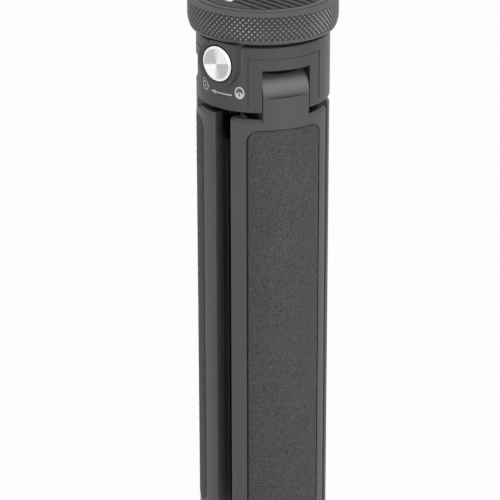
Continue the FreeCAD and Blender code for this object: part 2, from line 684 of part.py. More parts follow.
def frame_lines():
    """The thin line that frames each window of the collar."""
    half = grip_r * sin(frame_angle)
    top = deck_z + frame_rise
    low = collar_z + frame_foot
    outside = block("frame_outside", -half, half, -far, -leg_inner, low, top)
    inside = block("frame_inside", line_wide - half, half - line_wide, -far, -leg_inner + over,
                   low - over, top - line_wide)
    line = cut("frame_line", cut("frame_band", outside, inside),
               rod("frame_floor", grip_r - line_deep, low - over, top + over))
    return thirds("frame_lines", line)


def boss():
    """The boss of the button: round below and at the upper left, square at the upper right."""
    top = button_z + boss_rise
    round_part = reach_rod("boss_round", boss_r, shell_inner, boss_reach, button_z)
    square = block("boss_square", 0, boss_r, -boss_reach, -shell_inner, button_z, top)
    joined = fuse("boss_joined", round_part, square)
    trimmed = cut("boss_trimmed", joined, block("boss_lid", -far, far, -far, far, top, top + far))
    return turned("boss", trimmed, button_angle)


def collar_shell():
    """The outer collar: a tube with three windows, an inner flange on top and the button's boss."""
    tube = rod("shell_tube", grip_r, collar_z, wall_top)
    beveled = softened("shell_beveled", tube, shell_bevel, lambda edge: edge.Closed, "Part::Chamfer")
    bossed = fuse("shell_bossed", beveled, boss())

    def boss_foot(edge):
        on_wall = all(on_radius(edge.valueAt(step), grip_r) for step in spread(edge))
        below_bevel = edge.BoundBox.ZMax < wall_top.value - shell_bevel.value / 2
        return on_wall and below_bevel and edge.BoundBox.ZLength > shell_bevel.value

    filleted = softened("shell_filleted", bossed, boss_fillet, boss_foot)
    bore = reach_rod("guide_bore", cap_r + cap_gap, shell_inner - over, boss_reach + over, button_z)
    inside = rod("shell_inside", shell_inner, collar_z - over, core_step)
    hole = rod("flange_hole", flange_r, collar_z - over, wall_top + over)
    return cut(
        "collar_shell",
        filleted,
        inside,
        hole,
        pockets("shell_pockets"),
        frame_lines(),
        turned("guide_bore_turned", bore, button_angle),
        latch_room_tool("shell_latch_room"),
        thirds("shell_screw_holes", shell_screw_hole("shell_screw_hole")),
    )


def spread(edge, count=5):
    """Some places along an edge."""
    first, last = edge.FirstParameter, edge.LastParameter
    return [first + (last - first) * (number + 0.5) / count for number in range(count)]


def latch_room_tool(name):
    """The room in which the latch plate and its tooth travel."""
    inner = latch_inner - travel - latch_gap
    disc = reach_rod(f"{name}_disc", latch_r + latch_room, inner, shell_inner, button_z)
    half = tooth_half + latch_room
    slot = block(f"{name}_slot", -half, half, -shell_inner, -inner, button_z, wall_top + over)
    return turned(name, fuse(f"{name}_whole", disc, slot), button_angle)


def shell_screw():
    """A screw that holds the shell to the core, on the middle of a leg."""
    head = rod("shell_screw_head", shell_head_r, shell_head_z, shell_head_z + shell_head_tall,
               y=-shell_screw_reach)
    shank = rod("shell_screw_shank", shell_screw_r, shell_head_z - shell_screw_long, shell_head_z,
                y=-shell_screw_reach)
    return fuse("shell_screw", head, shank)


def shell_screw_hole(name):
    """The counterbored hole for that screw."""
    well = rod(f"{name}_well", shell_head_r + shell_screw_fit, shell_head_z, wall_top + over,
               y=-shell_screw_reach)
    shank = rod(f"{name}_shank", shell_screw_r, shell_head_z - shell_screw_long, shell_head_z,
                y=-shell_screw_reach)
    return fuse(name, well, shank)


def hinge_core():
    """The core behind the windows: three webs that hold the pins, a leg stop and the bayonet track."""
    low = collar_z + core_lift
    body = fuse(
        "core_body",
        rod("core_lower", core_r, low, core_step),
        rod("core_upper", flange_r - core_fit, low, core_top),
    )
    open_core = cut("core_open", body, pockets("core_pockets"))
    stop = doc.addObject("Part::Prism", "leg_stop")
    stop.Polygon = LEG_COUNT
    apothem = pin_reach - knuckle_r * cos(180 - open_angle - knuckle_arc) - stop_gap
    tie(stop, Circumradius=apothem * 2, Height=stop_drop + over)
    place(stop, 0, 0, deck_z - stop_drop)
    stop.setExpression("Placement.Rotation.Angle", (leg_turn - 90 + third_turn / 2).text)
    stopped = fuse("core_stopped", open_core, stop)
    half = root(core_r * core_r - pin_reach * pin_reach)
    pin_hole = cross_rod("pin_hole", pin_r, -half - over * 2, half + over * 2)
    bore = rod("hub_bore", hub_r + hub_fit, bore_floor, wall_top)
    track = rod("lug_track", track_r, lug_z - slide_gap, track_top)
    entries = [
        arc_rod(f"lug_entry_{number}", track_r, track_top - slide_gap, wall_top, entry_angle,
                leg_turn - unlock_angle + third_turn * number)
        for number in range(LEG_COUNT)
    ]
    return cut(
        "hinge_core",
        stopped,
        thirds("pin_holes", pin_hole),
        bore,
        track,
        *entries,
        latch_room_tool("core_latch_room"),
        thirds("core_screw_holes", shell_screw_hole("core_screw_hole")),
    )


def hinge_pins():
    """The three pressed hinge pins."""
    outer_edge = pin_reach + pin_r
    half = root(core_r * core_r - outer_edge * outer_edge) - pin_inset
    return thirds("hinge_pins", cross_rod("hinge_pin", pin_r, -half, half))


def button_guide():
    """The bush in which the button slides."""
    outer = reach_rod("guide_outer", cap_r + cap_gap, shell_inner, boss_reach - guide_sink, button_z)
    inner = reach_rod("guide_inner", cap_r + guide_fit, shell_inner - over, boss_reach, button_z)
    return turned("button_guide", cut("guide_ring", outer, inner), button_angle)


def wave_washer():
    """The springy washer that lifts the hub against the track's lip."""
    disc = rod("wave_disc", wave_r, bore_floor, bore_floor + wave_thick)
    return cut("wave_washer", disc, rod("wave_hole", wave_r - wave_wide, bore_floor - over, wall_top))


def thrust_washer():
    """The slippery washer between core and hub flange."""
    low = core_top
    high = wall_top + hub_flange_gap - slide_gap
    disc = rod("thrust_disc", hub_flange_r - hub_fit, low, high)
    return cut("thrust_washer", disc, rod("thrust_hole", track_r, low - over, high + over))


def button_cap():
    """The round button, hollow for its spring."""
    outer = boss_reach + cap_proud
    side = reach_rod("cap_side", cap_r, latch_outer, outer - cap_bevel, button_z)
    edge = doc.addObject("Part::Cone", "cap_edge")
    edge.Placement = Placement(Vector(), Rotation(Vector(1, 0, 0), 90))
    tie(edge, Radius1=cap_r, Radius2=cap_r - cap_bevel_in, Height=cap_bevel)
    place(edge, 0, cap_bevel - outer, button_z)
    well = reach_rod("cap_well", cap_bore_r, latch_inner, outer - cap_floor, button_z)
    holes = [
        reach_rod(f"cap_screw_hole_{sign}", latch_screw_r, latch_inner, latch_inner + latch_screw_long,
                  button_z, x=latch_screw_reach * sign)
        for sign in (1, -1)
    ]
    return turned("button_cap", cut("cap_body", fuse("cap_joined", side, edge), well, *holes),
                  button_angle)


def latch_plate():
    """The plate behind the button, with the tooth that reaches up into the head."""
    disc = reach_rod("latch_disc", latch_r, latch_inner, latch_outer, button_z)
    tooth = block("latch_tooth", -tooth_half, tooth_half, -latch_outer, -latch_inner, button_z,
                  button_z + tooth_rise)
    hole = reach_rod("latch_hole", cap_bore_r, latch_inner - over, latch_outer + over, button_z)
    lid = block("latch_lid", -far, far, -far, far, core_top - latch_room, core_top + far)
    low_disc = cut("latch_low_disc", disc, lid)
    holes = []
    for sign in (1, -1):
        holes.append(reach_rod(f"latch_screw_hole_{sign}", latch_screw_r, latch_inner - over,
                               latch_outer + over, button_z, x=latch_screw_reach * sign))
        holes.append(reach_rod(f"latch_screw_seat_{sign}", latch_head_r, latch_inner - over,
                               latch_inner + latch_thick / 2, button_z, x=latch_screw_reach * sign))
    return turned("latch_plate", cut("latch_body", fuse("latch_joined", low_disc, tooth), hole, *holes),
                  button_angle)


def latch_screws():
    """The two small screws that hold the latch plate to the button."""
    screws = []
    for sign in (1, -1):
        head = reach_rod(f"latch_screw_head_{sign}", latch_head_r, latch_inner,
                         latch_inner + latch_thick / 2, button_z, x=latch_screw_reach * sign)
        shank = reach_rod(f"latch_screw_shank_{sign}", latch_screw_r, latch_inner,
                          latch_inner + latch_screw_long, button_z, x=latch_screw_reach * sign)
        screws.append(fuse(f"latch_screw_{sign}", head, shank))
    return turned("latch_screws", group("latch_screw_pair", *screws), button_angle)


def button_spring():
    """The coil spring behind the button."""
    inner = latch_inner - travel - latch_gap
    outer = boss_reach + cap_proud - cap_floor
    length = outer - inner - spring_wire
    helix = doc.addObject("Part::Helix", "spring_path")
    tie(helix, Pitch=length / spring_turns, Height=length, Radius=spring_r)
    helix.Placement = Placement(Vector(), Rotation(Vector(1, 0, 0), 90))
    place(helix, 0, -inner - spring_wire / 2, button_z)
    wire = doc.addObject("Part::Circle", "spring_section")
    tie(wire, Radius=spring_wire / 2)
    wire.Placement = Placement(Vector(), Rotation(Vector(0, 0, 1), 90))
    place(wire, spring_r, -inner - spring_wire / 2, button_z)
    coil = doc.addObject("Part::Sweep", "spring_coil")
    coil.Sections = [wire]
    coil.Spine = (helix, [])
    coil.Solid = True
    coil.Frenet = True
    return turned("button_spring", coil, button_angle)


def knurled_ring():
    """The ring that the hand turns: a lip below, a long rounding, a bevel on top."""
    bend = (ring_round_in * ring_round_in + ring_round_tall * ring_round_tall) / (ring_round_in * 2)
    ring_top = ring_z + ring_height
    body = lathe("ring_body", (
        (ring_lip_r, ring_z),
        (ring_r - ring_round_in, ring_z, bend),
        (ring_r, ring_z + ring_round_tall),
        (ring_r, ring_top - ring_bevel_tall),
        (ring_inner_r + ring_land, ring_top),
        (ring_inner_r, ring_top),
        (ring_inner_r, plate_z),
        (ring_lip_r, plate_z),
    ))
    return cut("knurled_ring", body, thirds("ring_screw_holes", ring_screw("ring_screw_hole")))


def ring_screw(name):
    """A small screw up through the ring's lip into the top plate."""
    head = rod(f"{name}_head", ring_head_r, ring_z, ring_z + ring_head_tall, y=-ring_screw_reach)
    shank = rod(f"{name}_shank", ring_screw_r, ring_z, ring_z + ring_screw_long, y=-ring_screw_reach)
    return fuse(name, head, shank)


def hub_screw(name):
    """A screw up through the hub into the top plate."""
    head = rod(f"{name}_head", hub_head_r, hub_z, hub_z + hub_head_tall, y=-hub_screw_reach)
    shank = rod(f"{name}_shank", hub_screw_r, hub_z, hub_z + hub_screw_long, y=-hub_screw_reach)
    return fuse(name, head, shank)


def top_plate():
    """The plate under the camera, with recesses for the grooved pad, the screw's head and the latch."""
    body = lathe("plate_body", (
        (0, plate_z),
        (plate_r, plate_z),
        (plate_r, plate_top - plate_bevel),
        (plate_r - plate_bevel, plate_top),
        (grip_pad_r + grip_pad_gap, plate_top),
        (grip_pad_r + grip_pad_gap, plate_top - grip_pad_sink),
        (0, plate_top - grip_pad_sink),
    ))
    groove = cut(
        "latch_groove",
        rod("latch_groove_disc", latch_outer + latch_groove_room, plate_z - over,
            plate_z + latch_groove_deep),
        rod("latch_groove_island", latch_inner - travel - latch_groove_room, plate_z - over * 2, plate_top),
    )
    return cut(
        "top_plate",
        body,
        groove,
        rod("screw_head_room", screw_head_r + screw_fit, plate_z - over, plate_z + screw_head_tall),
        rod("screw_room", screw_r + screw_neck + screw_fit, plate_z - over, plate_top + over),
        studs("stud_hole"),
        thirds("plate_hub_holes", hub_screw("plate_hub_hole"), leg_turn + third_turn / 2),
        thirds("plate_ring_holes", ring_screw("plate_ring_hole")),
    )


def grip_pad():
    """The rubber pad with its slanting grooves."""
    low = plate_top - grip_pad_sink
    disc = rod("pad_disc", grip_pad_r, low, pad_top)
    grooves = []
    rows = int(rib_rows.value)
    for row in range(-rows, rows + 1):
        middle = rib_pitch * row
        grooves.append(block(f"rib_groove_{row + rows}", -far, far, middle - rib_groove / 2,
                             middle + rib_groove / 2, pad_top - rib_depth, pad_top + over,
                             angle=rib_angle))
    return cut(
        "grip_pad",
        disc,
        group("rib_grooves", *grooves),
        rod("pad_screw_hole", screw_r + screw_neck + screw_fit * 2, low - over, pad_top + over),
        studs("pad_stud_hole"),
    )


def stud(name):
    """One anti-twist stud."""
    high = pad_top + stud_proud
    return rod(name, stud_r, high - stud_long, high, y=-stud_reach)


def studs(name):
    """The pair of studs that keep the camera from turning."""
    one = stud(f"{name}_one")
    if name == "anti_twist_studs":
        one = softened(f"{name}_rounded", one, stud_round, lambda edge: at_height(edge, pad_top + stud_proud))
    pair = [turned(f"{name}_{angle}", one, stud_angle + angle) for angle in (0, 180)]
    return group(name, *pair)


def camera_screw():
    """The camera screw, held by its head between hub and top plate."""
    tip = pad_top + screw_proud
    return lathe("camera_screw", (
        (0, plate_z),
        (screw_head_r, plate_z),
        (screw_head_r, plate_z + screw_head_tall),
        (screw_r + screw_neck, plate_z + screw_head_tall),
        (screw_r + screw_neck, pad_top),
        (screw_r, pad_top),
        (screw_r, tip - screw_bevel),
        (screw_r - screw_bevel, tip),
        (0, tip),
    ))


def bayonet_hub():
    """The hub under the top plate, with three lugs that lock under the core's lip."""
    flange_z = wall_top + hub_flange_gap
    body = lathe("hub_body", (
        (0, hub_z),
        (hub_r, hub_z),
        (hub_r, flange_z),
        (hub_flange_r, flange_z),
        (hub_flange_r, plate_z),
        (0, plate_z),
    ))
    lugs = [
        arc_rod(f"lug_{number}", lug_r, lug_z, lug_top, lug_angle, leg_turn + third_turn * number)
        for number in range(LEG_COUNT)
    ]
    return cut("bayonet_hub", fuse("hub_lugged", body, *lugs),
               thirds("hub_screw_holes", hub_screw("hub_screw_hole"), leg_turn + third_turn / 2))


def build():
    """Make every piece, and return the nodes by name."""
    nodes = {
        "collar_shell": collar_shell(),
        "hinge_core": hinge_core(),
        "hinge_pins": hinge_pins(),
        "shell_screws": thirds("shell_screws", shell_screw()),
        "button_guide": button_guide(),
        "wave_washer": wave_washer(),
        "thrust_washer": thrust_washer(),
        "button_cap": button_cap(),
        "latch_plate": latch_plate(),
        "latch_screws": latch_screws(),
        "button_spring": button_spring(),
        "knurled_ring": knurled_ring(),
        "ring_screws": thirds("ring_screws", ring_screw("ring_screw")),
        "top_plate": top_plate(),
        "grip_pad": grip_pad(),
        "camera_screw": camera_screw(),
        "anti_twist_studs": studs("anti_twist_studs"),
        "bayonet_hub": bayonet_hub(),
        "hub_screws": thirds("hub_screws", hub_screw("hub_screw"), leg_turn + third_turn / 2),
    }
    leg_pieces = {
        "leg_frame": leg_frame(),
        "leather_pad": leather_pad(),
        "inner_cover": inner_cover(),
        "foot_insert": foot_insert(),
        "foot": foot(),
        "foot_screw": foot_screw(),
        "hinge_bush": hinge_bush(),
        "friction_washers": friction_washers(),
    }
    for side, azimuth in LEGS:
        for piece, shape in leg_pieces.items():
            nodes[f"{side}_{piece}"] = turned(f"{side}_{piece}", shape, azimuth)
    return nodes


def check_and_write(nodes):
    """Stop on a failed object or a broken solid, then write each node."""
    doc.recompute()
    for obj in doc.Objects:
        if "Invalid" in obj.State or "Error" in obj.State:
            raise RuntimeError(f"{obj.Name} failed: {obj.State}")
    os.makedirs("parts", exist_ok=True)
    for name, obj in nodes.items():
        obj.Label = name
        shape = obj.Shape
        if shape.isNull() or not shape.isValid() or not shape.Solids:
            raise RuntimeError(f"{name} has no valid solid")
        shape.exportStep(f"parts/{name}.step")
        box = shape.BoundBox
        print(f"{name:26s} solids {len(shape.Solids)}  volume {shape.Volume:9.1f}  "
              f"z {box.ZMin:7.2f} to {box.ZMax:7.2f}")


check_and_write(build())
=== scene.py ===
"""Handheld mini tripod: knurl, leather, thread, printed signs, finishes, studio and camera.

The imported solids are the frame. Everything here is in metres in that same frame: +Z runs up the axis
of the closed grip and the photographed side faces -Y. An azimuth of 0 points along -Y and grows
towards +X.
"""

import json
import logging
import math
from dataclasses import dataclass, field
from enum import Enum
from itertools import product
from typing import Any, Optional, Union

import bpy
import numpy as np
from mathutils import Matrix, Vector


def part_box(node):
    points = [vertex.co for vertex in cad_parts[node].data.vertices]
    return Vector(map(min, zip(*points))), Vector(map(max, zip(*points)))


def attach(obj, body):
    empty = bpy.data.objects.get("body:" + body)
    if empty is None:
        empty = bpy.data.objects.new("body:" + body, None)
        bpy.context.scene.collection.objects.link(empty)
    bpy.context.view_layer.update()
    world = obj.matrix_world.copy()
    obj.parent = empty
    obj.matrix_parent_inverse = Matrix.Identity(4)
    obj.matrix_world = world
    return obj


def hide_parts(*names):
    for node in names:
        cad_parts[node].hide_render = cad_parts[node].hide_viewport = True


logging.basicConfig(level=logging.INFO, format="%(message)s")
log = logging.getLogger("mini_tripod")

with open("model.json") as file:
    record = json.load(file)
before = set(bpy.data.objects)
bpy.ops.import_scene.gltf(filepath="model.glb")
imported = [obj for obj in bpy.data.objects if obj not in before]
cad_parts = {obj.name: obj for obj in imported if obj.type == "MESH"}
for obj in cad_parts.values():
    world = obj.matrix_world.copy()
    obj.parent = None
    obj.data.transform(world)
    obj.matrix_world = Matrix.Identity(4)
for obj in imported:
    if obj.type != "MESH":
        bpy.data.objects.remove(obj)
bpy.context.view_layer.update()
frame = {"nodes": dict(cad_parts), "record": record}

MM = 0.001
LEG_AZIMUTHS = {"front": 21.45, "right_rear": 141.45, "left": -98.55}
BUTTON_AZIMUTH = -38.55

Array = np.ndarray
Material = bpy.types.Material
Piece = bpy.types.Object
Tint = tuple[float, float, float]
PLAIN: Tint = (1.0, 1.0, 1.0)
BLACK_DYE: Tint = (1.0, 1.0, 1.005)
WHITE = (1.0, 1.0, 1.0, 1.0)
POLE_R = 1e-6

USUAL_NOISE = (0.3, 0.7)
BLASTED_GRAIN = (3200.0, 2.0, 0.6)
GRAIN_HEIGHT = 0.004 * MM
SCATTER = ((127.1, 311.7, 17.3, 43758.5453), (269.5, 183.3, 31.9, 24634.6345))
SEED_KEPT_OFF = 0.1
PEBBLE_REACH = 0.85
CREASE_WIDTH = 0.25
SOFT_WAVES = 4
SOFT_LENGTHS = (0.7, 1.4)
SOFT_CROSSING = 1.3


class Slot(Enum):
    """The record's material slots."""

    BLACK_ALUMINIUM = "black_aluminium"
    BLACK_LEATHER = "black_leather"
    BLACK_RUBBER = "black_rubber"
    SILVER_BUTTON = "silver_button"
    STEEL = "steel"
    BARE_ALUMINIUM = "bare_aluminium"
    BRONZE = "bronze"
    SLIDE_POLYMER = "slide_polymer"


class Wave:
    """A shader socket that takes part in arithmetic."""

    def __init__(self, graph: "Tree", socket: bpy.types.NodeSocket) -> None:
        """Keep the socket and the tree that its maths goes to."""
        self.graph = graph
        self.socket = socket

    def _maths(self, operation: str, *others: Any, clamp: bool = False) -> "Wave":
        """Add a Math node.

        Args:
            operation: the node's operation.
            others: its further values or sockets.
            clamp: whether the result stays between 0 and 1.

        Returns:
            The node's result.
        """
        inputs = dict(enumerate((self, *others)))
        node = self.graph.node("ShaderNodeMath", {"operation": operation, "use_clamp": clamp}, inputs)
        return Wave(self.graph, node.outputs[0])

    def __add__(self, other: Any) -> "Wave":
        """Add."""
        return self._maths("ADD", other)

    def __sub__(self, other: Any) -> "Wave":
        """Subtract."""
        return self._maths("SUBTRACT", other)

    def __mul__(self, other: Any) -> "Wave":
        """Multiply."""
        return self._maths("MULTIPLY", other)

    def __rsub__(self, other: float) -> "Wave":
        """Take this from a number."""
        return (self * -1.0) + other

    __radd__ = __add__
    __rmul__ = __mul__

    def root(self) -> "Wave":
        """Take the square root."""
        return self._maths("SQRT")

    def held(self) -> "Wave":
        """Keep between 0 and 1."""
        return self._maths("ADD", 0.0, clamp=True)

    def stretched(self, low: float, high: float) -> "Wave":
        """Map low to 0 and high to 1, and hold it there."""
        return ((self - low) * (1.0 / (high - low))).held()

    def about(self, middle: float, spread: float) -> "Wave":
        """Map 0 and 1 to half the spread below and above the middle."""
        return self * spread + (middle - spread / 2)


class Tree:
    """A node tree, with one way to add a node."""

    def __init__(self, tree: bpy.types.NodeTree) -> None:
        """Keep the tree and empty it."""
        self.tree = tree
        self.tree.nodes.clear()

    def node(self, kind: str, settings: Optional[dict[str, Any]] = None,
             inputs: Optional[dict[Union[str, int], Any]] = None) -> bpy.types.Node:
        """Add a node.

        Args:
            kind: the node's type.
            settings: attributes, which are set first.
            inputs: values, sockets or waves by the input's name or number.

        Returns:
            The node.
        """
        node = self.tree.nodes.new(kind)
        for name, setting in (settings or {}).items():
            setattr(node, name, setting)
        for key, given in (inputs or {}).items():
            if isinstance(given, Wave):
                given = given.socket
            if isinstance(given, bpy.types.NodeSocket):
                self.tree.links.new(given, node.inputs[key])
            else:
                node.inputs[key].default_value = given
        return node

    def shown(self) -> Wave:
        """Tell the rays that see a background from those that light things.

        Returns:
            1 for the rays of the camera, of reflections and of glass, and 0 for the others.
        """
        path = self.node("ShaderNodeLightPath").outputs
        camera, glossy, passing = (Wave(self, path[f"Is {ray} Ray"])
                                   for ray in ("Camera", "Glossy", "Transmission"))
        return (camera + glossy + passing).held()


class Graph(Tree):
    """A material's node tree."""

    def __init__(self, name: str) -> None:
        """Start a material with its output and its Object coordinates.

        Args:
            name: the material's name.
        """
        self.material = bpy.data.materials.new(name)
        self.material.use_nodes = True
        super().__init__(self.material.node_tree)
        self.output = self.node("ShaderNodeOutputMaterial")
        self.coordinates = self.node("ShaderNodeTexCoord").outputs["Object"]

    def noise(self, scale: float, detail: float = 2.0, roughness: float = 0.5) -> Wave:
        """Noise over the piece, from 0 to 1.

        Args:
            scale: features for each metre.
            detail: octaves.
            roughness: strength of the finer octaves.

        Returns:
            The noise.
        """
        inputs = {"Vector": self.coordinates, "Scale": scale, "Detail": detail, "Roughness": roughness}
        return Wave(self, self.node("ShaderNodeTexNoise", inputs=inputs).outputs["Fac"])

    def attribute(self, name: str) -> Wave:
        """The number that the mesh carries at each vertex under this name."""
        return Wave(self, self.node("ShaderNodeAttribute", {"attribute_name": name}).outputs["Fac"])

    def axis_distance(self) -> Wave:
        """The distance from the grip's axis, with every leg closed.

        Returns:
            The distance in metres.
        """
        split = self.node("ShaderNodeSeparateXYZ", inputs={0: self.coordinates})
        across, deep = Wave(self, split.outputs[0]), Wave(self, split.outputs[1])
        return (across * across + deep * deep).root()

    def mix(self, factor: Wave, first: Any, second: Any) -> Any:
        """Mix two colours.

        Args:
            factor: 0 for the first and 1 for the second.
            first: a colour or its socket.
            second: a colour or its socket.

        Returns:
            The colour socket.
        """
        inputs = {"Factor": factor, 6: first, 7: second}
        return self.node("ShaderNodeMix", {"data_type": "RGBA"}, inputs).outputs[2]

    def blend(self, factor: Wave, low: float, high: float, tint: Tint = PLAIN) -> Any:
        """A tinted grey between two levels.

        Args:
            factor: 0 for low and 1 for high.
            low: the darker level.
            high: the lighter level.
            tint: what each channel is multiplied by.

        Returns:
            The colour socket.
        """
        dark, light = (tuple(level * part for part in tint) + (1.0,) for level in (low, high))
        return self.mix(factor, dark, light)

    def bump(self, height: Wave, distance: float) -> Any:
        """Turn a height into a normal.

        Args:
            height: the height, from 0 to 1.
            distance: the height of 1 in metres.

        Returns:
            The normal socket.
        """
        inputs = {"Height": height, "Distance": distance, "Strength": 1.0}
        return self.node("ShaderNodeBump", inputs=inputs).outputs["Normal"]

    def surface(self, **inputs: Any) -> Material:
        """Finish with a Principled surface.

        Args:
            inputs: its sockets, with underscores for spaces.

        Returns:
            The material.
        """
        named = {name.replace("_", " "): given for name, given in inputs.items()}
        shader = self.node("ShaderNodeBsdfPrincipled", inputs=named)
        self.tree.links.new(shader.outputs[0], self.output.inputs["Surface"])
        return self.material


@dataclass(frozen=True)
class Anodised:
    """Bead-blasted, dyed aluminium: a fine grain under a satin layer, and painted shade, black towards the
    grip's axis, where one is set.
    """

    name: str = "black_anodised_aluminium"
    level: float = 0.105
    metallic: float = 0.35
    roughness: float = 0.46
    specular: float = 0.5
    painted_shade_within: float = 0.0
    painted_shade_edge: float = 0.5 * MM
    painted_shade_level: float = 0.001
    cloud_scale: float = 55.0
    level_drift: float = 0.1
    gloss_drift: float = 0.08

    def material(self) -> Material:
        """Grey with a cloudy drift and a fine blasted grain, half of each.

        Returns:
            The material.
        """
        graph = Graph(self.name)
        cloud = graph.noise(self.cloud_scale, 3.0)
        grain = graph.noise(*BLASTED_GRAIN)
        shade = (cloud * 0.5 + grain * 0.5).stretched(*USUAL_NOISE)
        low, high = self.level * (1 - self.level_drift), self.level * (1 + self.level_drift)
        colour = graph.blend(shade, low, high, BLACK_DYE)
        metallic = self.metallic
        # Painted shade: within a set distance of the grip's axis the colour turns black and the metal dull,
        # because the slots between the legs lie in shade.
        if self.painted_shade_within:
            outside = graph.axis_distance().stretched(self.painted_shade_within, self.painted_shade_within + self.painted_shade_edge)
            colour = graph.mix(outside, (self.painted_shade_level,) * 3 + (1.0,), colour)
            metallic = outside * self.metallic
        return graph.surface(
            Base_Color=colour,
            Metallic=metallic,
            Roughness=shade.about(self.roughness, self.gloss_drift),
            Specular_IOR_Level=self.specular,
            Normal=graph.bump(grain, GRAIN_HEIGHT),
        )


@dataclass(frozen=True)
class Knurled:
    """The same anodising on the knurl, with painted shade: dark in the grooves and lighter on the points."""

    name: str = "knurled_anodised_aluminium"
    dark: float = 0.01
    light: float = 0.33
    metallic: float = 0.35
    groove_roughness: float = 0.5
    worn_gloss: float = 0.1
    height_share: float = 0.92
    grain_share: float = 0.16
    dip: float = 0.04

    def material(self) -> Material:
        """Painted shade: grey that follows the knurl's height and a little of the grain, less a dip.

        Returns:
            The material.
        """
        graph = Graph(self.name)
        height = graph.attribute("height")
        grain = graph.noise(*BLASTED_GRAIN)
        shade = (height * self.height_share + grain * self.grain_share - self.dip).held()
        return graph.surface(
            Base_Color=graph.blend(shade, self.dark, self.light, BLACK_DYE),
            Metallic=self.metallic,
            Roughness=self.groove_roughness - height * self.worn_gloss,
            Normal=graph.bump(grain, GRAIN_HEIGHT),
        )


@dataclass(frozen=True)
class Leather:
    """Pebble-grained leather: painted shade makes its creases darker than its pebbles, and the creases are
    duller too.
    """

    name: str = "black_pebbled_leather"
    crease: float = 0.008
    pebble: float = 0.135
    crease_roughness: float = 0.62
    pebble_gloss: float = 0.12
    specular: float = 0.4
    height_share: float = 0.7
    pore_share: float = 0.35
    drift_share: float = 0.2
    dip: float = 0.15
    pore_scale: float = 2300.0
    pore_depth: float = 0.09 * MM
    drift_scale: float = 90.0

    def material(self) -> Material:
        """Painted shade: grey that follows the grain, with fine pores and a slow drift, less a dip.

        Returns:
            The material.
        """
        graph = Graph(self.name)
        height = graph.attribute("height")
        pores = graph.noise(self.pore_scale, 2.0, 0.6)
        drift = graph.noise(self.drift_scale)
        fine = pores.stretched(*USUAL_NOISE) * self.pore_share
        shade = (height * self.height_share + fine + drift * self.drift_share - self.dip).held()
        return graph.surface(
            Base_Color=graph.blend(shade, self.crease, self.pebble),
            Roughness=self.crease_roughness - height * self.pebble_gloss,
            Specular_IOR_Level=self.specular,
            Normal=graph.bump(pores, self.pore_depth),
        )


@dataclass(frozen=True)
class Metal:
    """A machined metal: bright or dull, with fine turning marks."""

    name: str
    level: float
    tint: Tint = PLAIN
    roughness: float = 0.3
    smear_scale: float = 700.0
    smear_dark: float = 0.07
    gloss_drift: float = 0.1
    mark_scale: float = 5200.0
    mark_height: float = 0.001 * MM

    def material(self) -> Material:
        """A metal whose gloss varies a little.

        Returns:
            The material.
        """
        graph = Graph(self.name)
        smear = graph.noise(self.smear_scale, 3.0)
        return graph.surface(
            Base_Color=graph.blend(smear, self.level * (1 - self.smear_dark), self.level, self.tint),
            Metallic=1.0,
            Roughness=smear.about(self.roughness, self.gloss_drift),
            Normal=graph.bump(graph.noise(self.mark_scale, 1.0), self.mark_height),
        )


@dataclass(frozen=True)
class TurnedFace:
    """Bright turned metal whose sheen is painted into its colour from the mesh."""

    name: str = "turned_silver"
    dull: float = 0.5
    bright: float = 1.0
    roughness: float = 0.26
    smear_scale: float = 900.0
    smear_share: float = 0.16

    def material(self) -> Material:
        """Silver that follows the painted sheen on the mesh, plus a random smear.

        Returns:
            The material.
        """
        graph = Graph(self.name)
        smear = graph.noise(self.smear_scale)
        shade = (graph.attribute("height") + smear.about(0.0, self.smear_share)).held()
        return graph.surface(
            Base_Color=graph.blend(shade, self.dull, self.bright),
            Metallic=1.0,
            Roughness=self.roughness,
        )


@dataclass(frozen=True)
class Moulded:
    """A moulded rubber or polymer with a fine spark-eroded texture."""

    name: str
    level: float
    tint: Tint = PLAIN
    roughness: float = 0.7
    gloss_drift: float = 0.12
    darker: float = 0.82
    lighter: float = 1.15
    texture_scale: float = 2600.0
    texture_height: float = 0.01 * MM
    texture_share: float = 0.6
    drift_scale: float = 120.0

    def material(self) -> Material:
        """A dull surface with a soft texture and a slow drift.

        Returns:
            The material.
        """
        graph = Graph(self.name)
        texture = graph.noise(self.texture_scale, 3.0, 0.6)
        drift = graph.noise(self.drift_scale)
        shade = (texture * self.texture_share + drift * (1 - self.texture_share)).stretched(*USUAL_NOISE)
        return graph.surface(
            Base_Color=graph.blend(shade, self.level * self.darker, self.level * self.lighter, self.tint),
            Roughness=texture.about(self.roughness, self.gloss_drift),
            Normal=graph.bump(texture, self.texture_height),
        )


@dataclass(frozen=True)
class Print:
    """White pad print."""

    name: str = "white_print"
    level: float = 0.97
    thin: float = 0.92
    roughness: float = 0.5
    ink_scale: float = 4200.0

    def material(self) -> Material:
        """A dull white ink, a little uneven.

        Returns:
            The material.
        """
        graph = Graph(self.name)
        ink = graph.noise(self.ink_scale)
        return graph.surface(
            Base_Color=graph.blend(ink, self.level * self.thin, self.level),
            Roughness=self.roughness,
        )


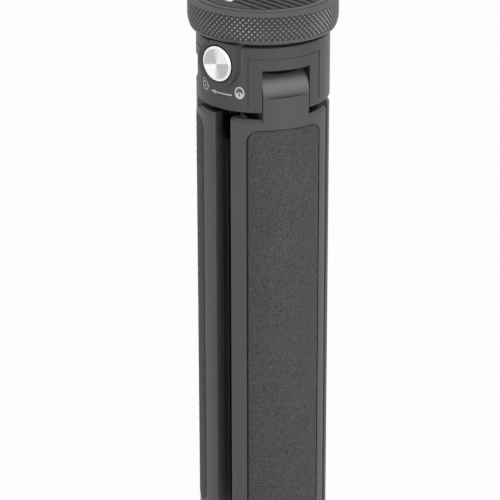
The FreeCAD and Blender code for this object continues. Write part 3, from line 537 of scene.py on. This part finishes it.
def mesh_object(name: str, points: Array, faces: Array, smooth_angle: float = 40.0,
                height: Optional[Array] = None, caps: tuple[Array, ...] = ()) -> Piece:
    """Put points and faces into a new piece.

    Args:
        name: the piece's name.
        points: places, with x, y, z along the last axis.
        faces: four point numbers in each row.
        smooth_angle: edges sharper than this many degrees stay sharp.
        height: a number from 0 to 1 at each point, kept as the attribute "height": the knurl's and the
            leather's painted shade, and the button's painted sheen.
        caps: point numbers of flat faces with more corners.

    Returns:
        The piece, linked to the scene.
    """
    mesh = bpy.data.meshes.new(name)
    points = points.reshape(-1, 3)
    corners = np.concatenate([faces.ravel(), *caps]).astype(np.int32)
    sizes = np.concatenate([np.full(len(faces), 4), [len(cap) for cap in caps]])
    mesh.vertices.add(len(points))
    mesh.vertices.foreach_set("co", points.astype(np.float32).ravel())
    mesh.loops.add(len(corners))
    mesh.loops.foreach_set("vertex_index", corners)
    mesh.polygons.add(len(sizes))
    mesh.polygons.foreach_set("loop_start", (np.cumsum(sizes) - sizes).astype(np.int32))
    mesh.polygons.foreach_set("use_smooth", np.ones(len(sizes), dtype=bool))
    if height is not None:
        numbers = mesh.attributes.new("height", "FLOAT", "POINT").data
        numbers.foreach_set("value", height.astype(np.float32).ravel())
    mesh.update(calc_edges=True)
    mesh.validate()
    mesh.set_sharp_from_angle(angle=math.radians(smooth_angle))
    piece = bpy.data.objects.new(name, mesh)
    bpy.context.scene.collection.objects.link(piece)
    return piece


def grid_faces(rows: int, columns: int, wrap_rows: bool = False) -> Array:
    """Faces of a grid of points whose last column joins the first.

    Args:
        rows: points along the first direction.
        columns: points along the second direction.
        wrap_rows: whether the last row joins the first too.

    Returns:
        Four point numbers for each face.
    """
    row = np.arange(rows if wrap_rows else rows - 1)[:, None]
    column = np.arange(columns)[None, :]
    below, beside = (row + 1) % rows, (column + 1) % columns
    corners = (row * columns + column, row * columns + beside, below * columns + beside,
               below * columns + column)
    return np.stack([np.broadcast_to(corner, corners[0].shape) for corner in corners], -1).reshape(-1, 4)


def dress(piece: Piece, finish: Material, slot: Slot, body: str, *stands_for: str) -> None:
    """Give a new piece its finish, its body and the nodes that it stands for.

    Args:
        piece: the piece.
        finish: its material.
        slot: the record's material slot; not used.
        body: the body that it moves with.
        stands_for: the nodes that it replaces.
    """
    piece.data.materials.append(finish)
    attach(piece, body)
    if stands_for:
        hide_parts(*stands_for)


def ramp(value: Array, start: float, end: float) -> Array:
    """0 at the start, 1 at the end, even between them and held there."""
    return np.clip((value - start) / (end - start), 0, 1)


def outward(azimuth: float) -> Array:
    """The direction of an azimuth in degrees: its sine along X and less its cosine along Y."""
    angle = math.radians(azimuth)
    return np.array([math.sin(angle), -math.cos(angle), 0.0])


def wrapped(radius: Union[float, Array], azimuth: Array, level: Array) -> Array:
    """Points round Z: the radius times the azimuth's sine, less the radius times its cosine, and height.

    Args:
        radius: distance from Z.
        azimuth: azimuth in radians.
        level: height.

    Returns:
        The points, with x, y, z along a last axis.
    """
    across = radius * np.sin(azimuth)
    return np.stack([across, -radius * np.cos(azimuth), np.broadcast_to(level, across.shape)], -1)


def arc(middle: tuple[float, float], radius: float, start: float, end: float, count: int,
        tall: float = 1.0) -> Array:
    """An arc: the radius times the angle's cosine across, and the radius times tall and its sine up.

    Args:
        middle: the arc's middle.
        radius: half the width of its ellipse.
        start: first angle in degrees.
        end: last angle in degrees.
        count: number of points.
        tall: the ellipse's height over its width.

    Returns:
        A row for each of the two coordinates.
    """
    angle = np.radians(np.linspace(start, end, count))
    return np.array([middle[0] + radius * np.cos(angle), middle[1] + radius * tall * np.sin(angle)])


@dataclass
class KnurledRing:
    """The head's ring: a surface turned round Z with a diamond knurl pressed into its side."""

    node: str = "knurled_ring"
    outer_r: float = 23.08 * MM
    inner_r: float = 21.13 * MM
    lip_r: float = 18.3 * MM
    lip_tall: float = 1.2 * MM
    round_in: float = 1.15 * MM
    round_tall: float = 3.6 * MM
    bevel_in: float = 1.85 * MM
    bevel_tall: float = 0.9 * MM
    pitches: int = 82
    steps_each: int = 10
    knurl_depth: float = 0.58 * MM
    fade_below: tuple[float, float] = (1.0 * MM, 1.4 * MM)
    fade_above: tuple[float, float] = (0.02 * MM, 0.22 * MM)
    plain_shade: float = 0.34

    def outline(self, low: float, high: float) -> tuple[Array, Array]:
        """The ring's closed section: lip, arc, side, bevel, top and the seat of the top plate.

        Args:
            low: height of the lip.
            high: height of the top.

        Returns:
            Points of radius and height, and the length along the side at each (below 0 off the side).
        """
        bend = (self.round_in ** 2 + self.round_tall ** 2) / (2 * self.round_in)
        sweep = math.asin(self.round_tall / bend)
        step = 2 * math.pi * self.outer_r / self.pitches / self.steps_each
        rounding = arc((self.outer_r - bend, low + self.round_tall), bend, -math.degrees(sweep), 0.0,
                       int(bend * sweep / step) + 1)
        side_top = high - self.bevel_tall
        count = int((side_top - low - self.round_tall) / step) + 1
        heights = np.linspace(low + self.round_tall, side_top, count)[1:]
        side = np.stack([np.full_like(heights, self.outer_r), heights], -1)
        face = np.concatenate([rounding.T, side])
        along = np.concatenate([[0.0], np.cumsum(np.hypot(*np.diff(face, axis=0).T))])
        seat = low + self.lip_tall
        rest = np.array([
            (self.outer_r - self.bevel_in / 2, high - self.bevel_tall / 2),
            (self.outer_r - self.bevel_in, high), (self.inner_r, high),
            (self.inner_r, seat), (self.lip_r, seat), (self.lip_r, low),
        ])
        return np.concatenate([face, rest]), np.concatenate([along, np.full(len(rest), -1.0)])

    def build(self, finish: Material) -> Piece:
        """Make the ring.

        Two families of V grooves cross at 45 degrees: each groove's depth is a triangle wave of the
        distance round the ring plus or minus the length along the side, and the deeper one is cut. The
        knurl fades out near both ends of the side.

        Args:
            finish: its material.

        Returns:
            The piece.
        """
        low, high = (corner[2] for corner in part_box(self.node))
        section, along = self.outline(low, high)
        columns = self.pitches * self.steps_each
        turn = np.linspace(0.0, 2 * math.pi, columns, endpoint=False)
        azimuth = turn + math.pi / 2
        pitch = 2 * math.pi * self.outer_r / self.pitches
        round_phase = turn[None, :] * self.pitches / (2 * math.pi)
        side_phase = along[:, None] / pitch
        grooves = [np.abs(((round_phase + sign * side_phase) % 1.0) * 2 - 1) for sign in (1, -1)]
        cut = np.maximum(*grooves)
        fade = ramp(along, *self.fade_below) * ramp(along.max() - along, *self.fade_above)
        fade = fade[:, None]
        points = wrapped(section[:, :1] - self.knurl_depth * cut * fade, azimuth, section[:, 1:])
        # Painted shade for the knurl: 1 on the points, 0 in the grooves, and plain_shade where the knurl
        # fades out.
        height = self.plain_shade + (1 - cut - self.plain_shade) * fade
        faces = grid_faces(len(section), columns, wrap_rows=True)
        piece = mesh_object("ring_knurl", points, faces, 30.0, height)
        dress(piece, finish, Slot.BLACK_ALUMINIUM, "head", self.node)
        return piece


def scattered(square_u: Array, square_v: Array, seed: int) -> list[Array]:
    """Two numbers from 0 to 1 for each square of a lattice: what follows the point of a large, fast sine.

    Args:
        square_u: the squares' first numbers.
        square_v: the squares' second numbers.
        seed: picks the field.

    Returns:
        The first and the second numbers.
    """
    waves = [np.sin(square_u * weight_u + square_v * weight_v + seed * weight_seed) * size
             for weight_u, weight_v, weight_seed, size in SCATTER]
    return [wave - np.floor(wave) for wave in waves]


def pebbles(across: Array, along: Array, size: float, seed: int) -> Array:
    """Height of rounded pebbles, one round each of a field of scattered seeds.

    Each square of side size holds one seed, and the nine nearest squares are searched. A pebble is 1 less
    the squared distance from its seed, and falls as a square root to a crease halfway to the next.

    Args:
        across: first coordinates.
        along: second coordinates.
        size: side of a square.
        seed: picks the field.

    Returns:
        The height from 0 to 1.
    """
    u, v = across / size, along / size
    base_u, base_v = np.floor(u), np.floor(v)
    room = 1 - 2 * SEED_KEPT_OFF
    distances = []
    for step_u, step_v in product((-1, 0, 1), repeat=2):
        square_u, square_v = base_u + step_u, base_v + step_v
        drawn_u, drawn_v = scattered(square_u, square_v, seed)
        seed_u = square_u + SEED_KEPT_OFF + room * drawn_u
        seed_v = square_v + SEED_KEPT_OFF + room * drawn_v
        distances.append(np.hypot(u - seed_u, v - seed_v))
    ranked = np.sort(np.stack(distances), axis=0)
    dome = np.clip(1 - (ranked[0] / PEBBLE_REACH) ** 2, 0, 1)
    return dome * np.sqrt(ramp(ranked[1] - ranked[0], 0, CREASE_WIDTH))


def soft_noise(across: Array, along: Array, size: float, seed: int) -> Array:
    """Smooth noise from about -1 to 1: half the sum of four products of two sines that cross.

    The angle and the shifts of each pair are drawn, and its length near the size; the sine that crosses
    is a little longer.

    Args:
        across: first coordinates.
        along: second coordinates.
        size: about the length of a wave.
        seed: picks the waves.

    Returns:
        The noise.
    """
    draw = np.random.default_rng(seed)
    total = np.zeros_like(across)
    for _ in range(SOFT_WAVES):
        angle, shift, other = draw.uniform(0, 2 * math.pi, 3)
        length = size * draw.uniform(*SOFT_LENGTHS)
        wide = length * SOFT_CROSSING
        straight = (across * math.cos(angle) + along * math.sin(angle)) * 2 * math.pi / length
        crossing = (along * math.cos(angle) - across * math.sin(angle)) * 2 * math.pi / wide
        total = total + np.sin(straight + shift) * np.sin(crossing + other)
    return total / 2


@dataclass
class LeatherPad:
    """The leather on one leg: a curved slab with rounded corners, rolled edges and a pebble grain."""

    side: str
    azimuth: float
    floor_r: float = 19.42 * MM
    top_r: float = 20.55 * MM
    corner: float = 3.65 * MM
    edge_roll: float = 0.55 * MM
    step: float = 0.15 * MM
    pebble: float = 0.75 * MM
    grain_depth: float = 0.3 * MM
    grain_starts: float = 0.8 * MM
    edge_shade: float = 0.35
    push: float = 0.4
    push_lengths: tuple[float, float] = (2.6, 3.1)
    swell_length: float = 5.0
    large_share: float = 0.6
    large_across: float = 0.8
    small_share: float = 0.3
    small_size: float = 0.6
    swell_share: float = 0.15
    first_seed: int = 400
    least_thick: float = 0.02 * MM
    end_rows: tuple[float, ...] = (0.15, 0.35, 0.6)
    side_crowding: float = 1.25
    crowded_share: float = 0.25
    back_columns: int = 7

    def grain(self, across: Array, along: Array) -> Array:
        """The grain's height from 0 in a crease to 1 on a pebble.

        Places are pushed about by soft noise. The height is a sum of shares of large pebbles, small ones
        with the directions exchanged, and a slow swell.

        Args:
            across: distance round the leg.
            along: height.

        Returns:
            The height.
        """
        seed = int(self.azimuth * 2) + self.first_seed
        length_u, length_v = (length * self.pebble for length in self.push_lengths)
        reach = self.push * self.pebble
        pushed_u = across + reach * soft_noise(across, along, length_u, seed)
        pushed_v = along + reach * soft_noise(across, along, length_v, seed + 1)
        large = pebbles(pushed_u * self.large_across, pushed_v, self.pebble, seed)
        small = pebbles(pushed_v, pushed_u, self.pebble * self.small_size, seed + 5)
        swell = 0.5 + 0.5 * soft_noise(across, along, self.swell_length * self.pebble, seed + 2)
        total = self.large_share * large + self.small_share * small + self.swell_share * swell
        return np.clip(total, 0, 1)

    def build(self, finish: Material) -> Piece:
        """Make the pad as a closed grid: the face, back again along the floor, and the two ends.

        The face's radius is the top's, less a quarter circle's drop within edge_roll of the outline and
        less the grain's depth. Rows and columns are closer together near the outline.

        Args:
            finish: its material.

        Returns:
            The piece.
        """
        node = f"{self.side}_leather_pad"
        low, high = (corner[2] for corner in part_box(node))
        half = self.half_angle(node) * self.top_r
        rows = int((high - low) / self.step)
        columns = int(2 * half / self.step)
        extra = np.array(self.end_rows) / rows
        along = (low + (high - low) * np.sort(np.concatenate([np.linspace(0, 1, rows), extra, 1 - extra])))
        along = along[:, None]
        from_end = np.minimum(along - low, high - along)
        inside = np.clip(self.corner - from_end, 0, None)
        width = half - (self.corner - np.sqrt(np.maximum(self.corner ** 2 - inside ** 2, 0)))
        even = np.linspace(-1, 1, columns)
        crowded = np.sin(even * self.side_crowding) / math.sin(self.side_crowding) * self.crowded_share
        across = width * (crowded + even * (1 - self.crowded_share))[None, :]
        along = np.broadcast_to(along, across.shape)
        edge = np.minimum(width - np.abs(across), from_end)
        rolled = ramp(edge, self.edge_roll, 0)
        drop = self.edge_roll * (1 - np.sqrt(1 - rolled ** 2))
        height = self.grain(across, along)
        shown = ramp(edge, 0, self.grain_starts)
        radius = self.top_r - drop - self.grain_depth * (1 - height) * shown
        radius = np.maximum(radius, self.floor_r + self.least_thick)
        angle = across / self.top_r + math.radians(self.azimuth)
        behind = angle[:, np.linspace(columns - 1, 0, self.back_columns).astype(int)]
        back = wrapped(self.floor_r, behind, along[:, :self.back_columns])
        points = np.concatenate([wrapped(radius, angle, along), back], axis=1)
        # Painted shade for the leather: the grain's height, darker again within grain_starts of the outline,
        # where the edge rolls down.
        shade = height * (self.edge_shade + (1 - self.edge_shade) * shown)
        shade = np.concatenate([shade, np.zeros(back.shape[:2])], axis=1)
        count, loop = points.shape[:2]
        faces = grid_faces(count, loop)[:, ::-1]
        first = np.arange(loop)
        caps = (first, first[::-1] + (count - 1) * loop)
        piece = mesh_object(f"{self.side}_leather", points, faces, 60.0, shade, caps)
        dress(piece, finish, Slot.BLACK_LEATHER, f"{self.side}_leg", node)
        return piece

    def half_angle(self, node: str) -> float:
        """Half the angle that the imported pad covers.

        Its sine is the reach of the pad's points to either side of the pad's middle, over the radius.

        Args:
            node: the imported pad.

        Returns:
            The angle in radians.
        """
        mesh = frame["nodes"][node].data
        points = np.empty(len(mesh.vertices) * 3, dtype=np.float32)
        mesh.vertices.foreach_get("co", points)
        reach = points.reshape(-1, 3) @ np.cross([0, 0, 1], outward(self.azimuth))
        return math.asin(float(np.abs(reach).max()) / self.top_r)


@dataclass
class CameraScrew:
    """The camera screw: head, neck and a rolled thread with a bevelled tip."""

    node: str = "camera_screw"
    thread_r: float = 3.175 * MM
    neck_r: float = 3.425 * MM
    head_r: float = 6.2 * MM
    head_tall: float = 3.4 * MM
    pitch: float = 1.27 * MM
    thread_deep: float = 0.42 * MM
    bevel: float = 0.5 * MM
    proud: float = 5.5 * MM
    flank_share: float = 1.25
    rows: int = 90
    columns: int = 72

    def build(self, finish: Material) -> Piece:
        """Make the screw.

        The thread's depth is a triangle wave of the height less the turn, one pitch for each turn, with
        its points cut flat. The bevel holds the radius below a line that falls to the tip.

        Args:
            finish: its material.

        Returns:
            The piece.
        """
        low, high = (corner[2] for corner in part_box(self.node))
        foot = high - self.proud
        plain = np.array([(POLE_R, low), (self.head_r, low), (self.head_r, low + self.head_tall),
                          (self.neck_r, low + self.head_tall), (self.neck_r, foot)])
        heights = np.linspace(foot, high, self.rows)
        limit = np.minimum(self.thread_r, self.thread_r - self.bevel + (high - heights))
        turn = np.linspace(0, 2 * math.pi, self.columns, endpoint=False)
        phase = ((heights[:, None] - high) / self.pitch - turn[None, :] / (2 * math.pi)) % 1.0
        flat = (self.flank_share - 1) / 2
        groove = np.clip(np.abs(phase * 2 - 1) * self.flank_share - flat, 0, 1)
        thread = np.minimum(self.thread_r - self.thread_deep * groove, limit[:, None])
        radius = np.concatenate([np.repeat(plain[:, :1], self.columns, 1), thread,
                                 np.full((1, self.columns), POLE_R)])
        level = np.concatenate([plain[:, 1], heights, [high]])[:, None]
        points = wrapped(radius, turn + math.pi / 2, level)
        piece = mesh_object("camera_screw_thread", points, grid_faces(len(radius), self.columns), 35.0)
        dress(piece, finish, Slot.STEEL, "head", self.node)
        return piece


@dataclass
class SilverButton:
    """The button: a cap whose face and bevel are turned in fine concentric grooves."""

    node: str = "button_cap"
    radius: float = 5.4 * MM
    face: float = 22.4 * MM
    inner: float = 17.6 * MM
    well_r: float = 3.1 * MM
    well_face: float = 20.4 * MM
    bevel_in: float = 0.7 * MM
    bevel_deep: float = 0.32 * MM
    axis_z: float = 167.5 * MM
    groove_pitch: float = 0.42 * MM
    groove_deep: float = 0.01 * MM
    sheen_rise: tuple[float, float] = (8.0, 15.0)
    sheen_fall: tuple[float, float] = (112.0, 70.0)
    sheen_below: float = 0.93
    sheen_above: float = 0.72
    sheen_least: float = 0.07
    sheen_rings: float = 0.06
    rim_sheen: float = 0.8
    rim_rows: int = 6
    columns: int = 144

    def sheen(self, turn: Array, radius: Array) -> Array:
        """The painted sheen of the turned face at each angle, from 0 to 1.

        Two opposite sectors are bright, the one below more so: each is the product of a steep rise and a
        slow fall with the angle. Faint painted rings follow as a sine of the radius, at the grooves' pitch.

        Args:
            turn: angle from the right, anticlockwise.
            radius: distance from the middle, one row each.

        Returns:
            The painted sheen.
        """
        half_turn = np.degrees(turn)[None, :] % 180.0
        sector = ramp(half_turn, *self.sheen_rise) * ramp(half_turn, *self.sheen_fall)
        strength = np.where(np.degrees(turn)[None, :] >= 180.0, self.sheen_below, self.sheen_above)
        rings = self.sheen_rings * np.sin(radius / self.groove_pitch * 2 * math.pi)
        return np.clip(sector * strength + self.sheen_least + rings, 0, 1)

    def build(self, finish: Material) -> Piece:
        """Make the cap: its section turned round the button's own axis.

        A point lies its reach out along that axis, the radius times the turn's cosine beside it and the
        radius times its sine above it. The face's grooves are a triangle wave of the radius.

        Args:
            finish: its material.

        Returns:
            The piece.
        """
        rings = np.arange(0.0, self.radius - self.bevel_in, self.groove_pitch / 4)[::-1]
        wave = np.abs((rings / self.groove_pitch) % 1.0 * 2 - 1)
        face = np.stack([np.maximum(rings, POLE_R), self.face - self.groove_deep * wave], -1)
        section = np.concatenate([
            [(POLE_R, self.well_face), (self.well_r, self.well_face), (self.well_r, self.inner),
             (self.radius, self.inner), (self.radius, self.face - self.bevel_deep),
             (self.radius - self.bevel_in, self.face)],
            face,
        ])
        turn = np.linspace(0, 2 * math.pi, self.columns, endpoint=False)
        out = outward(BUTTON_AZIMUTH)
        beside = np.cross([0, 0, 1], out)
        radius, reach = section[:, :1], section[:, 1:]
        points = reach[..., None] * out + (radius * np.cos(turn))[..., None] * beside
        points[..., 2] = radius * np.sin(turn) + self.axis_z
        # Painted sheen: bright and dull sectors with faint rings, and a fixed sheen on the rows up to the
        # bevel, carried to the colour as the attribute height.
        sheen = self.sheen(turn, radius)
        sheen[:self.rim_rows] = self.rim_sheen
        piece = mesh_object("button_turned", points, grid_faces(len(section), self.columns), 8.0, sheen)
        dress(piece, finish, Slot.SILVER_BUTTON, "button", self.node)
        return piece


@dataclass
class LockSigns:
    """The printed signs under the button: an open padlock, an arrow and a closed padlock."""

    wall_r: float = 20.4 * MM
    ink: float = 0.02 * MM
    line_half: float = 0.2 * MM
    sign_z: float = 158.91 * MM
    closed_azimuth: float = -20.25
    closed_ring_r: float = 1.34 * MM
    closed_ring_tall: float = 1.27
    closed_ring_half: float = 0.24 * MM
    shackle_r: float = 0.42 * MM
    shackle_tall: float = 1.2
    shackle_rise: float = 0.25 * MM
    shackle_half: float = 0.04 * MM
    body_half: float = 0.96 * MM
    body_tall: float = 0.78 * MM
    body_drop: float = 0.64 * MM
    body_end: float = 0.02
    open_azimuth: float = -57.95
    open_drop: float = 0.25 * MM
    open_ring_r: float = 1.42 * MM
    open_ring_tall: float = 0.88
    keyhole_r: float = 0.42 * MM
    keyhole_end: float = 0.01
    hook_foot: tuple[float, float] = (-1.3 * MM, 0.8 * MM)
    hook_middle: tuple[float, float] = (-0.45 * MM, 1.5 * MM)
    hook_r: float = 0.95 * MM
    hook_tall: float = 0.65
    hook_half: float = 0.16 * MM
    ring_points: int = 40
    arrow_z: float = 157.82 * MM
    arrow_from: float = -27.15
    arrow_to: float = -50.35
    arrow_head: float = 2.3 * MM
    arrow_overlap: float = 0.3 * MM
    arrow_half: float = 0.62 * MM
    arrow_point: float = 0.03 * MM
    parts: list[Piece] = field(default_factory=list)

    def stroke(self, name: str, path: Any, half: Union[float, Array], closed: bool = False) -> None:
        """A flat ribbon of ink on the collar.

        The path is in distance round the wall and height. Each of its points gets four corners, half the
        width to each side and ink deep, bent round the wall.

        Args:
            name: the piece's name.
            path: the middle line's two coordinates, each for all its points or as one number.
            half: half the width, for all points or at each.
            closed: whether the end joins the start.
        """
        path = np.stack(np.broadcast_arrays(*path), -1)
        ahead = np.roll(path, -1, 0) - np.roll(path, 1, 0)
        if not closed:
            ahead[0], ahead[-1] = path[1] - path[0], path[-1] - path[-2]
        ahead = ahead / np.linalg.norm(ahead, axis=1)[:, None]
        count = len(path)
        side = np.stack([-ahead[:, 1], ahead[:, 0]], -1) * np.broadcast_to(half, count)[:, None]
        flat = np.stack([path + side, path - side, path - side, path + side], 1)
        depth = np.array([self.ink, self.ink, -self.ink, -self.ink]) + self.wall_r
        points = wrapped(depth, flat[..., 0] / self.wall_r, flat[..., 1])
        faces = grid_faces(count, 4, wrap_rows=closed)
        if not closed:
            end = np.arange(4)
            faces = np.concatenate([faces, [end[::-1], end + 4 * (count - 1)]])
        self.parts.append(mesh_object(name, points, faces, 30.0))

    def ring(self, name: str, middle: tuple[float, float], radius: float, tall: float, half: float) -> None:
        """A closed ribbon round an upright ellipse.

        Args:
            name: the piece's name.
            middle: distance round the wall and height.
            radius: half the ellipse's width.
            tall: the ellipse's height over its width.
            half: half the ribbon's width.
        """
        last = 360 - 360 / self.ring_points
        self.stroke(name, arc(middle, radius, 0, last, self.ring_points, tall), half, closed=True)

    def closed_padlock(self) -> None:
        """A ring with a shackle over a body as wide as the root of 1 less its height to the fourth."""
        middle = math.radians(self.closed_azimuth) * self.wall_r
        self.ring("sign_closed_ring", (middle, self.sign_z), self.closed_ring_r, self.closed_ring_tall,
                  self.closed_ring_half)
        shackle = arc((middle, self.sign_z + self.shackle_rise), self.shackle_r, 0, 180, 16,
                      self.shackle_tall)
        self.stroke("sign_closed_shackle", shackle, self.shackle_half)
        rise = np.linspace(-1, 1, 15)
        level = self.sign_z + (rise * self.body_tall - self.body_drop)
        half = self.body_half * np.sqrt(np.maximum(1 - rise ** 4, self.body_end))
        self.stroke("sign_closed_body", (middle, level), half)

    def open_padlock(self) -> None:
        """A ring round a filled circle, with a shackle that stands open to its left."""
        middle = math.radians(self.open_azimuth) * self.wall_r
        low = self.sign_z - self.open_drop
        self.ring("sign_open_ring", (middle, low), self.open_ring_r, self.open_ring_tall, self.line_half)
        rise = np.linspace(-1, 1, 15)
        half = self.keyhole_r * np.sqrt(np.maximum(1 - rise ** 2, self.keyhole_end))
        self.stroke("sign_open_keyhole", (middle + rise * self.keyhole_r, low), half)
        bow = arc((middle + self.hook_middle[0], low + self.hook_middle[1]), self.hook_r, 190, 5, 24,
                  self.hook_tall)
        foot = np.array([[middle + self.hook_foot[0]], [low + self.hook_foot[1]]])
        self.stroke("sign_open_shackle", np.hstack([foot, bow]), self.hook_half)

    def arrow(self) -> None:
        """A shaft, and a head that narrows evenly to the tip near the open padlock."""
        tail = math.radians(self.arrow_from) * self.wall_r
        tip = math.radians(self.arrow_to) * self.wall_r
        neck = tip + self.arrow_head
        shaft = np.linspace(tail, neck - self.arrow_overlap, 24)
        self.stroke("sign_arrow_shaft", (shaft, self.arrow_z), self.line_half)
        half = np.linspace(self.arrow_half, self.arrow_point, 12)
        self.stroke("sign_arrow_head", (np.linspace(neck, tip, 12), self.arrow_z), half)

    def build(self, finish: Material) -> list[Piece]:
        """Print the three signs.

        Args:
            finish: the ink.

        Returns:
            The pieces.
        """
        self.closed_padlock()
        self.open_padlock()
        self.arrow()
        for piece in self.parts:
            dress(piece, finish, Slot.BLACK_ALUMINIUM, "collar")
        return self.parts


@dataclass
class Finishes:
    """One material for each slot, and a few of their own for single kinds of node."""

    made: dict[Slot, Material] = field(default_factory=dict)

    def build(self) -> None:
        """Make one material for each slot."""
        self.made = {
            Slot.BLACK_ALUMINIUM: Anodised().material(),
            Slot.BLACK_LEATHER: Leather().material(),
            Slot.BLACK_RUBBER: Moulded("black_rubber", 0.075).material(),
            Slot.SILVER_BUTTON: TurnedFace().material(),
            Slot.STEEL: Metal("machined_steel", 0.62, (1.0, 0.99, 0.97)).material(),
            Slot.BARE_ALUMINIUM: Metal("machined_aluminium", 0.55, roughness=0.4).material(),
            Slot.BRONZE: Metal("sintered_bronze", 0.6, (1.0, 0.68, 0.34), 0.45).material(),
            Slot.SLIDE_POLYMER: Moulded("slide_polymer", 0.6, (1.0, 0.98, 0.92), 0.5).material(),
        }

    def dress_nodes(self) -> None:
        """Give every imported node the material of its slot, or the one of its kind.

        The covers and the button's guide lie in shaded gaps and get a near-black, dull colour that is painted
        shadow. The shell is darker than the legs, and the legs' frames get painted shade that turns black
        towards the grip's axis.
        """
        # Painted shadow: a near-black, dull finish for the covers and the button's guide, which lie in shaded
        # gaps.
        painted_gap_shadow = Anodised("painted_gap_shadow_black", level=0.004, metallic=0.0, roughness=0.8,
                              specular=0.05).material()
        shell = Anodised("collar_anodised_aluminium", level=0.088).material()
        # The legs' frames get painted shade: black towards the grip's axis.
        frames = Anodised("leg_anodised_aluminium_painted_shade", painted_shade_within=16.0 * MM).material()
        kinds = {"_inner_cover": painted_gap_shadow, "button_guide": painted_gap_shadow, "collar_shell": shell,
                 "_leg_frame": frames}
        for entry in frame["record"]["subparts"]:
            name = entry["node"]
            own = (finish for ending, finish in kinds.items() if name.endswith(ending))
            finish = next(own, self.made[Slot(entry["material_slot"])])
            for place in frame["nodes"][name].material_slots:
                place.material = finish
            log.info("node %s: %s", name, finish.name)


@dataclass(frozen=True)
class SoftBox:
    """A soft rectangular lamp: its stand in degrees and metres, its size in metres and its watts."""

    name: str
    azimuth: float
    elevation: float
    reach: float
    width: float
    height: float
    power: float


@dataclass
class Studio:
    """A white floor, soft light and the camera at the photograph's angle."""

    pitch: float = 22.3
    distance: float = 855 * MM
    aim_height: float = 100.36 * MM
    lens: float = 196.3
    sensor_width: float = 36.0
    axis_column: float = 263.05
    image_width: float = 500.0
    view_reach: float = 50.0
    floor_half: float = 6.0
    floor_level: float = 0.86
    floor_glow: float = 0.97
    surround: float = 0.15
    lamps: tuple[SoftBox, ...] = (
        SoftBox("key_box", 38.0, 27.0, 1.4, 0.5, 1.2, 9.1),
        SoftBox("fill_box", -30.0, 20.0, 1.4, 0.7, 1.2, 2.3),
        SoftBox("back_box", 180.0, 62.0, 1.5, 0.9, 0.6, 0.6),
    )

    def place(self, name: str, data: bpy.types.ID, azimuth: float, elevation: float, reach: float) -> Piece:
        """Put a lamp or a camera into the scene, facing the aim on the grip's axis.

        Args:
            name: its name.
            data: the lamp or the camera.
            azimuth: where it stands, in degrees.
            elevation: how high it stands, in degrees.
            reach: its distance from the aim.

        Returns:
            Its object.
        """
        rise = math.radians(elevation)
        away = Vector(outward(azimuth)) * math.cos(rise) + Vector((0, 0, math.sin(rise)))
        placed = bpy.data.objects.new(name, data)
        placed.location = Vector((0, 0, self.aim_height)) + away * reach
        placed.rotation_euler = away.to_track_quat("Z", "Y").to_euler()
        bpy.context.scene.collection.objects.link(placed)
        return placed

    def floor(self) -> None:
        """A large floor that looks white and still takes the object's shadow."""
        graph = Graph("studio_floor")
        diffuse = graph.node("ShaderNodeBsdfDiffuse", inputs={"Color": (self.floor_level,) * 3 + (1.0,)})
        glow = graph.node("ShaderNodeEmission", inputs={"Color": WHITE, "Strength": 1.0})
        mixed = {0: graph.shown() * self.floor_glow, 1: diffuse.outputs[0], 2: glow.outputs[0]}
        mix = graph.node("ShaderNodeMixShader", inputs=mixed)
        graph.tree.links.new(mix.outputs[0], graph.output.inputs["Surface"])
        corners = self.floor_half * np.array([(-1, -1, 0), (1, -1, 0), (1, 1, 0), (-1, 1, 0)])
        floor = mesh_object("studio_floor", corners, np.array([[0, 1, 2, 3]]))
        floor.data.materials.append(graph.material)

    def world(self) -> None:
        """An even grey surround that the camera, reflections and glass see as white."""
        world = bpy.data.worlds.new("studio_world")
        bpy.context.scene.world = world
        world.use_nodes = True
        tree = Tree(world.node_tree)
        strength = tree.shown() * (1.0 - self.surround) + self.surround
        background = tree.node("ShaderNodeBackground", inputs={"Color": WHITE, "Strength": strength})
        tree.node("ShaderNodeOutputWorld", inputs={"Surface": background.outputs[0]})

    def light(self) -> None:
        """The soft boxes."""
        for box in self.lamps:
            data = bpy.data.lights.new(box.name, "AREA")
            data.shape = "RECTANGLE"
            data.size, data.size_y, data.energy = box.width, box.height, box.power
            self.place(box.name, data, box.azimuth, box.elevation, box.reach)

    def camera(self) -> None:
        """The camera, with its shift set so that the grip's axis falls where the photo has it."""
        data = bpy.data.cameras.new("photo_camera")
        data.lens = self.lens
        data.sensor_width = self.sensor_width
        data.shift_x = -(self.axis_column / self.image_width - 0.5)
        data.clip_end = self.view_reach
        bpy.context.scene.camera = self.place("photo_camera", data, 0.0, self.pitch, self.distance)

    def build(self) -> None:
        """Set up floor, surround, light and camera."""
        self.floor()
        self.world()
        self.light()
        self.camera()
        bpy.context.scene.view_settings.view_transform = "Standard"


def main() -> None:
    """Build the pieces in order and report them."""
    finishes = Finishes()
    finishes.build()
    finishes.dress_nodes()
    pieces = [KnurledRing().build(Knurled().material())]
    for side, azimuth in LEG_AZIMUTHS.items():
        pieces.append(LeatherPad(side, azimuth).build(finishes.made[Slot.BLACK_LEATHER]))
    pieces.append(CameraScrew().build(finishes.made[Slot.STEEL]))
    pieces.append(SilverButton().build(finishes.made[Slot.SILVER_BUTTON]))
    pieces.extend(LockSigns().build(Print().material()))
    for piece in pieces:
        log.info("piece %s: %d faces", piece.name, len(piece.data.polygons))
    Studio().build()


if __name__ == "__main__":
    main()
